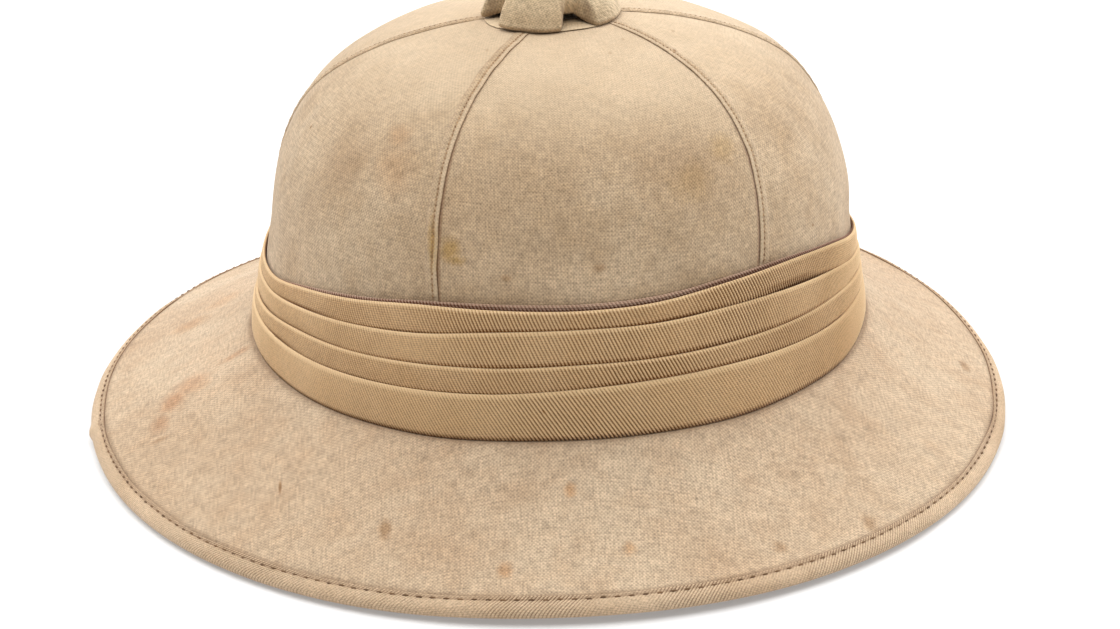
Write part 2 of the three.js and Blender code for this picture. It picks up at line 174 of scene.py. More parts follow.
@dataclass(frozen=True)
class HatShape:
    """The hat's driving sizes and the surfaces worked out from them."""

    gap: float = 0.3
    rim_half_width: float = 145.9
    rim_front_length: float = 166.9
    rim_back_length: float = 176.9
    rim_widest_y: float = -5.0
    rim_rise: float = 0.5
    rim_trims: tuple[tuple[float, float, float], ...] = (
        (100.0, 42.0, 0.9), (-118.0, 26.0, 0.6), (0.0, 16.0, 0.8))
    crown_centre: tuple[float, float, float] = (4.4, -5.0, 30.8)
    lean_right: float = 0.33
    lean_back: float = 1.07
    half_width: float = 91.6
    half_length: float = 108.3
    height: float = 98.0
    wall: float = 4.0
    drift: tuple[float, float] = (3.0, 1.2)
    oval_power: float = 1.9
    shoulder_power: float = 4.16
    top_power: float = 2.12
    flare: float = 3.2
    flare_height: float = 34.0
    hole_scale: float = 0.14
    foot_out: float = 7.2
    foot_draw: tuple[float, float, float] = (84.0, 30.0, 1.2)
    vent_centre: tuple[float, float] = (-1.2, -2.3)
    swellings: tuple[tuple[float, float, float, float, float], ...] = (
        (-112.0, 26.0, 77.0, 11.0, 1.25), (85.0, 14.0, 43.0, 9.0, 0.7), (105.0, 11.0, 80.0, 6.0, 0.8),
        (-90.0, 16.0, 40.0, 14.0, -0.45), (-138.0, 16.0, 88.0, 5.0, 0.6))
    slow_waves: Waves = Waves(seed=11, depth=0.22, fewest=2, most=9, tilt=0.05)
    fine_waves: Waves = Waves(seed=12, depth=0.07, fewest=12, most=34, tilt=0.16)
    seams: tuple[tuple[float, float], ...] = (
        (-25.5, -31.5), (36.5, 46.0), (103.0, 95.0), (154.0, 152.0), (208.0, 210.0), (260.0, 270.0))

    def around(self, line: str, angle: Array) -> Array:
        """Height of a line of HEIGHTS at any angle, on a periodic Catmull-Rom curve.

        Args:
            line: The line's name.
            angle: Angles in degrees.

        Returns:
            Heights in millimetres.
        """
        values = np.array(HEIGHTS[line])
        count = len(values)
        place = np.mod(angle, FULL_TURN) / (FULL_TURN / count)
        index = np.floor(place).astype(int)
        share = place - index
        a, b, c, d = (values[(index + k) % count] for k in (-1, 0, 1, 2))
        slope_in, slope_out, rise = (c - a) / 2.0, (d - b) / 2.0, c - b
        square = 3.0 * rise - 2.0 * slope_in - slope_out
        cube = slope_in + slope_out - 2.0 * rise
        return b + slope_in * share + square * share ** 2 + cube * share ** 3

    def oval(self, angle: Array, half_width: Array, half_length: Array) -> tuple[Array, Array]:
        """Superellipse |x|^n + |y|^n = 1 at an angle from the front, scaled to the half axes.

        Args:
            angle: Angles in degrees.
            half_width: Half axes along X.
            half_length: Half axes along Y.

        Returns:
            X and Y.
        """
        side, front, power = np.sin(np.radians(angle)), np.cos(np.radians(angle)), self.oval_power
        scale = (np.abs(side) ** power + np.abs(front) ** power) ** (-1.0 / power)
        return half_width * side * scale, -half_length * front * scale

    def dome_scale(self, share: Array) -> Array:
        """Share of the crown's width left at a share of its height: (1 - h^p)^(1/q)."""
        return (1.0 - np.clip(share, 0.0, 1.0) ** self.shoulder_power) ** (1.0 / self.top_power)

    def dome_height(self, scale: Array) -> Array:
        """Share of the crown's height at a share of its width: the inverse of dome_scale."""
        return (1.0 - np.clip(scale, 0.0, 1.0) ** self.top_power) ** (1.0 / self.shoulder_power)

    def on_wall(self, angle: Array, z: Array, out: Array = 0.0) -> Array:
        """Point on the crown's wall moved outwards, in the crown frame.

        The oval's half axes are the crown's plus out, times dome_scale, plus a flare that grows
        in a straight line towards the foot, and its middle drifts with the height squared.

        Args:
            angle: Angles in degrees.
            z: Heights above the crown's foot.
            out: Distances outwards.

        Returns:
            Points, with a last axis of three.
        """
        share = np.maximum(z, 0.0) / (self.height + out)
        scale = self.dome_scale(share)
        flare = self.flare * np.maximum(0.0, 1.0 - z / self.flare_height)
        halves = ((half + out) * scale + flare for half in (self.half_width, self.half_length))
        x, y = self.oval(angle, *halves)
        x, y, z = np.broadcast_arrays(x + self.drift[0] * share ** 2, y + self.drift[1] * share ** 2, z)
        return np.stack([x, y, z], -1)

    def beside(self, angle: Array, z: Array, out: Array) -> Array:
        """Point beside the crown's upright wall, without the flare, in the crown frame."""
        x, y = self.oval(angle, self.half_width + out, self.half_length + out)
        return np.stack(np.broadcast_arrays(x, y, z), -1)

    def on_cloth(self, angle: Array, z: Array, out: Array = 0.0) -> Array:
        """Point on the crown's cloth: the wall with soft swellings, and waves that fade at the top.

        Args:
            angle: Angles in degrees.
            z: Heights above the crown's foot.
            out: Distances outwards.

        Returns:
            Points in the crown frame.
        """
        fade = self.dome_scale(np.clip(z / self.height, 0.0, 0.999))
        swelling = sum(size * near(angle, at, wide) * bump(z, high, tall)
                       for at, wide, high, tall, size in self.swellings)
        waves = self.slow_waves.at(angle, z) + self.fine_waves.at(angle, z)
        return self.on_wall(angle, z, out + waves * fade + swelling)

    def seam_angle(self, seam: int, share: Array) -> Array:
        """Angle of a seam at a share of the crown's height: it moves with the share squared."""
        foot, top = self.seams[seam]
        return foot + (top - foot) * share ** 2

    def from_vent(self, points: Array) -> Array:
        """Distance of crown-frame points from the vent's axis."""
        return np.hypot(points[..., 0] - self.vent_centre[0], points[..., 1] - self.vent_centre[1])

    def to_part(self, points: Array) -> Array:
        """Turns crown-frame points into the part's frame: lean back about X, right about Y, then move.

        Args:
            points: Points in the crown frame.

        Returns:
            The same points in the part's frame.
        """
        back, right = np.radians(-self.lean_back), np.radians(self.lean_right)
        about_x = np.array([[1, 0, 0], [0, np.cos(back), -np.sin(back)], [0, np.sin(back), np.cos(back)]])
        about_y = np.array([[np.cos(right), 0, np.sin(right)], [0, 1, 0],
                            [-np.sin(right), 0, np.cos(right)]])
        return points @ (about_y @ about_x).T + np.array(self.crown_centre)

    def crown_top(self, points: Array) -> Array:
        """Height of the crown's surface over plan points near its top: dome_height of the oval's scale.

        Args:
            points: Points whose x and y count, in the crown frame.

        Returns:
            Heights in the crown frame.
        """
        width = np.abs(points[..., 0] - self.drift[0]) / self.half_width
        length = np.abs(points[..., 1] - self.drift[1]) / self.half_length
        scale = (width ** self.oval_power + length ** self.oval_power) ** (1.0 / self.oval_power)
        return self.height * self.dome_height(scale)

    def rim_edge(self, angle: Array) -> tuple[Array, Array]:
        """Outermost edge of the rim, an ellipse trimmed by a few bells, longer behind than in front.

        Args:
            angle: Angles in degrees.

        Returns:
            Points, and the outward directions there, square to the plan's ellipse.
        """
        side, front = np.sin(np.radians(angle)), np.cos(np.radians(angle))
        length = np.where(front > 0, self.rim_front_length, self.rim_back_length)
        height = self.around("rim", angle) + self.rim_rise * smooth(front, 0.0, 0.8)
        edge = np.stack([self.rim_half_width * side, self.rim_widest_y - length * front, height], -1)
        outwards = unit(np.stack([side / self.rim_half_width, -front / length, 0.0 * side], -1))
        trim = sum(size * near(angle, at, wide) for at, wide, size in self.rim_trims)
        return edge - outwards * trim[..., None], outwards

    def drawn_in(self, angle: Array) -> Array:
        """How much closer to the crown the band's foot lies on the right."""
        centre, width, depth = self.foot_draw
        return depth * near(angle, centre, width)

    def brim_foot(self, angle: Array, below: float = 0.0) -> Array:
        """Where the brim's upper face leaves the foot of the puggaree, or a point below it."""
        z, out = self.around("foot", angle) - self.gap - below, self.foot_out - self.drawn_in(angle)
        return self.to_part(self.beside(angle, z, out))

    def on_rim(self, angle: Array, along: Array, above: Array) -> Array:
        """Point beside the rim: along the brim's slope outwards and square to it upwards.

        Args:
            angle: Angles in degrees.
            along: Distances down the slope, outwards.
            above: Distances square to the slope.

        Returns:
            Points in the part's frame.
        """
        edge, outwards = self.rim_edge(angle)
        inwards = self.brim_foot(angle) - edge
        slope = np.arctan2(inwards[..., 2], -(inwards * outwards).sum(-1))[..., None]
        up = np.array([0.0, 0.0, 1.0])
        down_slope = outwards * np.cos(slope) - up * np.sin(slope)
        square = outwards * np.sin(slope) + up * np.cos(slope)
        return edge + down_slope * np.asarray(along)[..., None] + square * np.asarray(above)[..., None]


@dataclass
class Grid:
    """One face of a piece: points on rows and columns, their cloth coordinates and their shade_and_dirt
    values.
    """

    points: Array
    cloth: Array
    shade_and_dirt: Array


class PieceMesh:
    """Gathers grids and single faces into one closed mesh."""

    def __init__(self) -> None:
        """Starts with no points and no faces."""
        self.points, self.shade_and_dirt, self.corners, self.cloth = [], [], [], []
        self.count = 0

    def add_points(self, points: Array, shade_and_dirt: Array) -> int:
        """Adds points.

        Args:
            points: Points, with a last axis of three.
            shade_and_dirt: Their painted shade, highlights, soiling and wear, or one value for all.

        Returns:
            The number of the first one.
        """
        first = self.count
        self.points.append(points.reshape(-1, 3))
        self.shade_and_dirt.append(np.broadcast_to(shade_and_dirt, points.shape[:-1]).reshape(-1))
        self.count += len(self.points[-1])
        return first

    def add_faces(self, corners: Array, cloth: Array | None = None) -> None:
        """Adds faces that all have the same number of corners, with cloth coordinates if given."""
        self.corners.append(corners)
        self.cloth.append(np.zeros(corners.shape + (2,)) if cloth is None else cloth)

    def add_grid(self, grid: Grid, round_columns: bool = False, round_rows: bool = False,
                 wrap: tuple[float, float] = (0.0, 0.0), flip: bool = False) -> int:
        """Adds a grid as four-cornered faces, which may close on itself.

        Args:
            grid: The face's points, cloth coordinates and shade_and_dirt values.
            round_columns: Whether the last column joins the first.
            round_rows: Whether the last row joins the first.
            wrap: Cloth lengths once round the columns and once round the rows.
            flip: Whether the faces turn the other way.

        Returns:
            The number of the grid's first point.
        """
        rows, columns = grid.points.shape[:2]
        first = self.add_points(grid.points, grid.shade_and_dirt)
        r, c = np.meshgrid(np.arange(rows if round_rows else rows - 1),
                           np.arange(columns if round_columns else columns - 1), indexing="ij")
        row = np.stack([r, r, r + 1, r + 1], -1).reshape(-1, 4)
        column = np.stack([c, c + 1, c + 1, c], -1).reshape(-1, 4)
        corners = first + (row % rows) * columns + column % columns
        cloth = grid.cloth[row % rows, column % columns]
        cloth = cloth + np.stack([(column >= columns) * wrap[0], (row >= rows) * wrap[1]], -1)
        if flip:
            corners, cloth = corners[:, ::-1], cloth[:, ::-1]
        self.add_faces(corners, cloth)
        return first

    def add_cap(self, ring: Array, centre: Array, shade_and_dirt: float = 0.0, flip: bool = False) -> None:
        """Closes a ring with triangles to one new point.

        Args:
            ring: Numbers of the ring's points.
            centre: The new point.
            shade_and_dirt: Its painted shade, highlights, soiling and wear.
            flip: Whether the faces turn the other way.
        """
        middle = self.add_points(centre.reshape(1, 3), np.array(shade_and_dirt))
        corners = np.stack([ring, np.roll(ring, -1), np.full(len(ring), middle)], -1)
        self.add_faces(corners[:, ::-1] if flip else corners)

    def volume(self, points: Array) -> float:
        """Signed volume: a sixth of the triple products of each face's fan of triangles.

        Args:
            points: All points.

        Returns:
            The volume, below 0 where the faces point inwards.
        """
        total = 0.0
        for corners in self.corners:
            first = points[corners[:, 0]]
            for i in range(1, corners.shape[1] - 1):
                normal = np.cross(points[corners[:, i]], points[corners[:, i + 1]])
                total += np.einsum("ij,ij->", first, normal)
        return total / 6.0

    def make(self, name: str) -> bpy.types.Object:
        """Makes the object, in metres, with smooth faces that point outwards.

        Args:
            name: The piece's name.

        Returns:
            The new object, linked to the scene.
        """
        points = np.concatenate(self.points)
        turn = -1 if self.volume(points) < 0 else 1
        loops = np.concatenate([c[:, ::turn].reshape(-1) for c in self.corners])
        cloth = np.concatenate([c[:, ::turn].reshape(-1, 2) for c in self.cloth])
        sizes = np.concatenate([np.full(len(c), c.shape[1]) for c in self.corners])
        mesh = bpy.data.meshes.new(name)
        mesh.vertices.add(len(points))
        mesh.vertices.foreach_set("co", (points * MM).astype(np.float32).reshape(-1))
        mesh.loops.add(len(loops))
        mesh.loops.foreach_set("vertex_index", loops.astype(np.int32))
        mesh.polygons.add(len(sizes))
        mesh.polygons.foreach_set("loop_start", (np.cumsum(sizes) - sizes).astype(np.int32))
        mesh.update(calc_edges=True)
        mesh.validate()
        cloth_map = mesh.uv_layers.new(name=CLOTH_MAP)
        cloth_map.data.foreach_set("uv", (cloth * MM).astype(np.float32).reshape(-1))
        shade_and_dirt = mesh.attributes.new(SHADE_AND_DIRT, "FLOAT", "POINT")
        shade_and_dirt.data.foreach_set("value", np.concatenate(self.shade_and_dirt).astype(np.float32))
        mesh.shade_smooth()
        piece = bpy.data.objects.new(name, mesh)
        bpy.context.scene.collection.objects.link(piece)
        return piece


def ring_piece(name: str, points: Array, shade_and_dirt: Array, length: float, closing: float) -> bpy.types.Object:
    """Closed ring: a closed profile in the rows, carried all the way round in the columns.

    Args:
        name: The piece's name.
        points: Points, rows by columns.
        shade_and_dirt: Their painted shade, highlights, soiling and wear, rows by columns.
        length: Cloth length round the hat.
        closing: Cloth length from the profile's last point back to its first.

    Returns:
        The new object.
    """
    columns, travelled = points.shape[1], travel(points)
    round_hat = (np.arange(columns) * length / columns)[None, :]
    cloth = np.stack(np.broadcast_arrays(round_hat, travelled[:, None]), -1)
    piece = PieceMesh()
    piece.add_grid(Grid(points, cloth, shade_and_dirt), round_columns=True, round_rows=True,
                   wrap=(length, travelled[-1] + closing))
    return piece.make(name)


class Tint(Enum):
    """Colours that marks on the cloth multiply it by."""

    RUST = (0.80, 0.52, 0.27)
    EARTH = (0.55, 0.40, 0.25)
    ROSE = (0.84, 0.63, 0.50)
    OLIVE = (0.86, 0.76, 0.50)
    # Pales the cloth: the crown's and brim's pale patches are painted highlights.
    PALE = (1.14, 1.15, 1.17)


class Weave(Enum):
    """How a cloth's threads cross."""

    PLAIN = "plain"
    CORDED = "corded"


def srgb(red: int, green: int, blue: int) -> Colour:
    """Linear colour of a display colour from 0 to 255, by the sRGB curve."""
    values = [v / 255.0 for v in (red, green, blue)]
    return (*(v / 12.92 if v <= 0.04045 else ((v + 0.055) / 1.055) ** 2.4 for v in values), 1.0)


class Recipe:
    """Short steps for building one material's nodes."""

    def __init__(self, name: str) -> None:
        """Starts a material with one Principled shader, the object's own coordinates and the cloth's.

        Args:
            name: The material's name.
        """
        self.material = bpy.data.materials.new(name)
        self.material.use_nodes = True
        self.tree = self.material.node_tree
        self.tree.nodes.clear()
        self.shader = self.tree.nodes.new("ShaderNodeBsdfPrincipled")
        output = self.tree.nodes.new("ShaderNodeOutputMaterial")
        self.tree.links.new(self.shader.outputs[0], output.inputs[0])
        self.place = self.tree.nodes.new("ShaderNodeTexCoord").outputs["Object"]
        self.cloth = self.add("UVMap", {}, uv_map=CLOTH_MAP)

    def feed(self, node: bpy.types.Node, inputs: dict[int | str, object]) -> None:
        """Feeds a node's sockets.

        Args:
            node: The node.
            inputs: An output to link, or a value to set, by each socket's number or name.
        """
        for name, value in inputs.items():
            if isinstance(value, Socket):
                self.tree.links.new(value, node.inputs[name])
            else:
                node.inputs[name].default_value = value

    def add(self, kind: str, inputs: dict[int | str, object], output: int = 0, **settings: object) -> Socket:
        """Adds a node.

        Args:
            kind: Its type, without the words that all types start with.
            inputs: What its sockets are fed.
            output: The number of the output that is wanted.
            **settings: Its properties.

        Returns:
            The output.
        """
        node = self.tree.nodes.new("ShaderNode" + kind)
        for name, value in settings.items():
            setattr(node, name, value)
        self.feed(node, inputs)
        return node.outputs[output]

    def math(self, operation: str, first: object, second: object = 0.0) -> Socket:
        """One Math node of two values."""
        return self.add("Math", {0: first, 1: second}, operation=operation)

    def vector(self, operation: str, first: object, second: object = (0.0, 0.0, 0.0),
               output: int = 0) -> Socket:
        """One Vector Math node of two vectors."""
        return self.add("VectorMath", {0: first, 1: second}, output, operation=operation)

    def noise(self, vector: object, size: float, detail: float = 3.0, roughness: float = 0.55) -> Socket:
        """Noise whose largest features are about size millimetres."""
        inputs = {"Vector": vector, "Scale": 1.0 / (size * MM), "Detail": detail, "Roughness": roughness}
        return self.add("TexNoise", inputs)

    def span(self, value: object, low: float, high: float, start: float = 0.0, end: float = 1.0) -> Socket:
        """Maps low to high onto start to end, clamped."""
        return self.add("MapRange", dict(enumerate((value, low, high, start, end))))

    def mix(self, factor: object, first: object, second: object, blend: str = "MIX") -> Socket:
        """Mixes two colours by a factor."""
        return self.add("Mix", {0: factor, 6: first, 7: second}, 2, data_type="RGBA", blend_type=blend)

    def lift(self, colour: object, factor: object) -> Socket:
        """Multiplies a colour's brightness by a factor."""
        return self.add("VectorMath", {0: colour, "Scale": factor}, operation="SCALE")

    def relief(self, height: object, depth: float, strength: float = 1.0,
               over: Socket | None = None) -> Socket:
        """Bump of a height from 0 to 1, depth millimetres deep, over another bump if given."""
        inputs = {"Strength": strength, "Distance": depth * MM, "Height": height}
        return self.add("Bump", inputs | ({} if over is None else {"Normal": over}))

    def finish(self, inputs: dict[int | str, object]) -> bpy.types.Material:
        """Feeds the shader's sockets and hands over the material."""
        self.feed(self.shader, inputs)
        return self.material


@dataclass(frozen=True)
class Mark:
    """A stain or pale patch: its tint, middle and half sizes in millimetres, strength, and how ragged its
    edge is.
    """

    tint: Tint
    middle: tuple[float, float, float]
    size: tuple[float, float, float]
    strength: float
    breakup: float = 0.5

    def mask(self, recipe: Recipe) -> Socket:
        """Mask that fades outwards from the middle and is broken by noise.

        Args:
            recipe: The material's recipe.

        Returns:
            A value from 0 to the mark's strength.
        """
        offset = recipe.vector("SUBTRACT", recipe.place, tuple(v * MM for v in self.middle))
        shares = recipe.vector("DIVIDE", offset, tuple(v * MM for v in self.size))
        distance = recipe.vector("LENGTH", shares, output=1)
        ragged = recipe.noise(recipe.place, min(self.size) * 0.9, 4.0, 0.65)
        edge = recipe.math("ADD", distance, recipe.math("MULTIPLY", ragged, 2.0 * self.breakup))
        return recipe.span(edge, 1.0 + self.breakup, 0.3 + self.breakup, 0.0, self.strength)


def marks(tint: Tint, *rows: tuple[float, ...]) -> tuple[Mark, ...]:
    """Marks of one tint, from rows of three places, three half sizes, strength and, if given, breakup."""
    return tuple(Mark(tint, row[:3], row[3:6], *row[6:]) for row in rows)


@dataclass(frozen=True)
class ClothFinish:
    """A woven cloth: its colours, weave, unevenness of tone, grain and marks."""

    name: str
    colour: Colour
    faded: Colour
    soiled: Colour
    # The next two colours are mixed in by each point's shade_and_dirt value: the first above 0, for soiling
    # and painted shade, the second below 0, for worn cloth and painted highlights.
    shade_and_grime: Colour = srgb(100, 70, 44)
    worn: Colour = srgb(214, 192, 162)
    weave: Weave = Weave.PLAIN
    thread: float = 0.58
    weave_depth: float = 0.05
    weave_tone: float = 0.19
    fading_size: float = 46.0
    soil_size: float = 15.0
    soil_amount: float = 0.42
    cloud_size: float = 6.0
    grain: float = 0.09
    grain_size: float = 0.6
    streak: float = 0.22
    slub_depth: float = 0.10
    fuzz_depth: float = 0.09
    roughness: float = 0.93
    sheen: float = 0.12
    marks: tuple[Mark, ...] = ()

    def threads(self, recipe: Recipe) -> Socket:
        """Height of the threads: the product of two crossed sines, or one sine for cords.

        Args:
            recipe: The material's recipe.

        Returns:
            A value from 0 to 1.
        """
        wobble = recipe.math("MULTIPLY", recipe.noise(recipe.cloth, 9.0, 2.0), 0.5 * self.thread * MM)
        sines = []
        for output in (0, 1):
            place = recipe.math("ADD", recipe.add("SeparateXYZ", {0: recipe.cloth}, output), wobble)
            sines.append(recipe.math("SINE", recipe.math("MULTIPLY", place, math.pi / (self.thread * MM))))
        waves = recipe.math("MULTIPLY", *sines) if self.weave is Weave.PLAIN else sines[1]
        return recipe.math("ADD", recipe.math("MULTIPLY", waves, 0.5), 0.5)

    def aged(self, recipe: Recipe) -> Socket:
        """Colour of the cloth with its fading, soiling and clouds, each from its own noise.

        Args:
            recipe: The material's recipe.

        Returns:
            The colour.
        """
        fading = recipe.noise(recipe.place, self.fading_size, 5.0, 0.6)
        elsewhere, further = (recipe.vector("ADD", recipe.place, shift)
                              for shift in ((0.31, 0.17, 0.23), (0.47, 0.29, 0.11)))
        soiling = recipe.noise(elsewhere, self.soil_size, 6.0, 0.68)
        clouds = recipe.noise(further, self.cloud_size, 4.0, 0.6)
        colour = recipe.mix(recipe.span(fading, 0.40, 0.64), self.colour, self.faded)
        colour = recipe.mix(recipe.span(soiling, 0.46, 0.68, 0.0, self.soil_amount), colour, self.soiled)
        return recipe.lift(colour, recipe.span(clouds, 0.32, 0.68, 0.96, 1.05))

    def make(self) -> bpy.types.Material:
        """Builds the material.

        Returns:
            A material whose colour goes from the aged cloth through streaks, specks, grain, weave,
            marks and the piece's own shade_and_dirt value, which paints soiling and shade, wear and
            highlights, with slubs, fuzz and threads as bump.
        """
        recipe = Recipe(self.name)
        colour = self.aged(recipe)
        drawn = (recipe.vector("MULTIPLY", recipe.cloth, v) for v in ((0.14, 1.0, 1.0), (1.0, 0.14, 1.0)))
        along, across = (recipe.noise(place, self.grain_size, 1.0, 0.5) for place in drawn)
        streaks = recipe.math("ADD", along, across)
        grain = recipe.noise(recipe.place, self.grain_size, 0.0, 0.5)
        threads = self.threads(recipe)
        lift = recipe.span(streaks, 0.7, 1.3, 1.0 - self.streak, 1.0 + self.streak)
        for tone in (recipe.span(recipe.noise(recipe.place, 1.3, 2.0, 0.5), 0.66, 0.76, 0.0, -0.14),
                     recipe.span(grain, 0.3, 0.7, -self.grain, self.grain),
                     recipe.span(threads, 0.0, 1.0, -self.weave_tone, self.weave_tone)):
            lift = recipe.math("ADD", lift, tone)
        colour = recipe.lift(colour, lift)
        for tint in Tint:
            masks = [mark.mask(recipe) for mark in self.marks if mark.tint is tint]
            while len(masks) > 1:
                masks.append(recipe.math("MAXIMUM", masks.pop(0), masks.pop(0)))
            if masks:
                colour = recipe.mix(masks[0], colour, (*tint.value, 1.0), "MULTIPLY")
        # Each point's shade_and_dirt value: below 0 the worn colour, for wear and painted highlights; above
        # 0 the darker colour, for soiling and painted shade.
        shade_and_dirt = recipe.add("Attribute", {}, 2, attribute_name=SHADE_AND_DIRT)
        colour = recipe.mix(recipe.span(shade_and_dirt, 0.0, -1.0), colour, self.worn)
        colour = recipe.mix(recipe.span(shade_and_dirt, 0.0, 1.0), colour, self.shade_and_grime)
        fuzz = recipe.relief(grain, self.fuzz_depth, 0.6, recipe.relief(streaks, self.slub_depth, 0.5))
        return recipe.finish({
            "Base Color": colour, "Roughness": self.roughness, "Specular IOR Level": 0.25,
            "Sheen Weight": self.sheen, "Sheen Roughness": 0.45,
            "Normal": recipe.relief(threads, self.weave_depth, 1.0, fuzz)})


@dataclass(frozen=True)
class ThreadFinish:
    """Sewing thread: its two tones and its twist."""

    name: str
    colour: Colour
    worn: Colour
    twist: float = 0.35

    def make(self) -> bpy.types.Material:
        """Builds the material: tones by noise, with a fine twist as bump.

        Returns:
            The material.
        """
        recipe = Recipe(self.name)
        tone = recipe.span(recipe.noise(recipe.place, 5.0, 4.0, 0.7), 0.4, 0.65)
        twist = recipe.relief(recipe.noise(recipe.place, self.twist, 1.0), 0.06)
        return recipe.finish({"Base Color": recipe.mix(tone, self.colour, self.worn), "Roughness": 0.8,
                              "Normal": twist})


@dataclass(frozen=True)
class PaintedMetalFinish:
    """Old paint on sheet metal: dull, with small chips and dust."""

    name: str
    colour: Colour
    worn: Colour

    def make(self) -> bpy.types.Material:
        """Builds the material: paint that noise wears through to a darker tone, slightly uneven.

        Returns:
            The material.
        """
        recipe = Recipe(self.name)
        chips = recipe.noise(recipe.place, 3.5, 6.0, 0.7)
        return recipe.finish({
            "Base Color": recipe.mix(recipe.span(chips, 0.55, 0.66), self.colour, self.worn),
            "Roughness": recipe.span(chips, 0.3, 0.7, 0.45, 0.75),
            "Normal": recipe.relief(chips, 0.08, 0.4)})


def dress(piece: bpy.types.Object, material: bpy.types.Material, slot: str, *nodes: str) -> None:
    """Gives a new piece its material and body, and hides the solids that it stands for.

    Args:
        piece: The new piece.
        material: Its finish.
        slot: Not used.
        *nodes: Solids that it replaces.
    """
    piece.data.materials.append(material)
    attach(piece, "root")
    if nodes:
        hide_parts(*nodes)
    LOG.info("%s: %d faces", piece.name, len(piece.data.polygons))


@dataclass
class Crown:
    """Six cloth-covered panels that meet in seams."""

    shape: HatShape
    finish: ClothFinish
    rows: int = 96
    columns: int = 84
    inner_ratio: int = 6
    row_power: float = 1.5
    # Painted shade beside each seam, where the welt's edge shades the panel, and just above the band; a
    # painted highlight that pales the crown towards its top.
    seam_shade: tuple[float, float] = (0.65, 0.28)
    band_shade: tuple[float, float] = (0.05, 2.2)
    top_highlight: tuple[float, float, float] = (0.45, 72.0, 95.0)

    def panel_grid(self, number: int, inset: float) -> Grid:
        """Face of one panel from the brim to the hole at the top.

        Rows follow a height whose share h is sin(turn)^(2/p), with the turn growing as a power of
        the row's share, and columns divide the angle between the two seams evenly.

        Args:
            number: Which panel, from 0 at the front.
            inset: Distance inwards from the cloth's face.

        Returns:
            The face's grid in the part's frame.
        """
        shape, following = self.shape, (number + 1) % len(self.shape.seams)
        end = np.arcsin(shape.dome_height(shape.hole_scale) ** (shape.shoulder_power / 2.0))
        turn = end * (np.arange(self.rows + 1) / self.rows) ** self.row_power
        share = (np.sin(turn) ** (2.0 / shape.shoulder_power))[:, None]
        scale = np.maximum(shape.dome_scale(share), 0.05)
        margin = np.degrees(shape.gap / 2.0 / (shape.half_width * scale))
        left = shape.seam_angle(number, share) + margin
        right = shape.seam_angle(following, share) + (FULL_TURN if following == 0 else 0.0) - margin
        step = np.arange(self.columns + 1)[None, :] / self.columns
        angle = left + (right - left) * step
        height = share * (shape.height - inset) + 0.0 * angle
        height[0] = shape.around("foot", angle[0])
        points = shape.on_wall(angle, height, -inset) if inset else shape.on_cloth(angle, height)
        radius = (shape.half_width + shape.half_length) / 2.0 * scale
        across = np.radians(angle - (left + right) / 2.0) * radius + 40.0 * number
        from_seam = np.minimum(step, 1.0 - step) * np.radians(right - left) * radius
        from_band = np.abs(height - shape.around("top", angle) - 1.0)
        # Painted shade beside the seams and above the band, and a painted highlight towards the top.
        shade_and_dirt = self.seam_shade[0] * np.exp(-from_seam / self.seam_shade[1])
        shade_and_dirt = shade_and_dirt + self.band_shade[0] * np.exp(-from_band / self.band_shade[1])
        shade_and_dirt = shade_and_dirt - self.top_highlight[0] * smooth(height, *self.top_highlight[1:])
        cloth = np.stack(np.broadcast_arrays(across, travel(points)[:, None]), -1)
        return Grid(shape.to_part(points), cloth, shade_and_dirt)

    def border(self, ratio: int) -> Array:
        """Numbers of a grid's edge points, once round from its first corner along its first row.

        Args:
            ratio: How many of the panel's steps one step of the grid spans.

        Returns:
            Point numbers.
        """
        rows, columns = self.rows // ratio + 1, self.columns // ratio + 1
        top = np.arange(columns - 1)
        right = np.arange(rows - 1) * columns + columns - 1
        bottom = (rows - 1) * columns + np.arange(columns - 1, 0, -1)
        left = np.arange(rows - 1, 0, -1) * columns
        return np.concatenate([top, right, bottom, left])

    def build_panel(self, number: int) -> bpy.types.Object:
        """Builds one panel: a fine outer face, a coarser inner one, and a wall between their edges.

        Args:
            number: Which panel, from 0 at the front.

        Returns:
            The new object.
        """
        ratio = self.inner_ratio
        outer, inner = self.panel_grid(number, 0.0), self.panel_grid(number, self.shape.wall)
        inner = Grid(*(v[::ratio, ::ratio] for v in (inner.points, inner.cloth, inner.shade_and_dirt * 0.5)))
        piece = PieceMesh()
        piece.add_grid(outer)
        first = piece.add_grid(inner, flip=True)
        fine, coarse = self.border(1), first + self.border(ratio)
        step = np.arange(len(coarse))
        edge = [fine[(step * ratio + ratio - k) % len(fine)] for k in range(ratio + 1)]
        piece.add_faces(np.stack([*edge, coarse, np.roll(coarse, -1)], -1))
        return piece.make(f"panel_{number + 1}")

    def build(self) -> None:
        """Builds and dresses the six panels."""
        material = self.finish.make()
        for number in range(len(self.shape.seams)):
            dress(self.build_panel(number), material, "crown_cloth", f"crown_panel_{number + 1}")


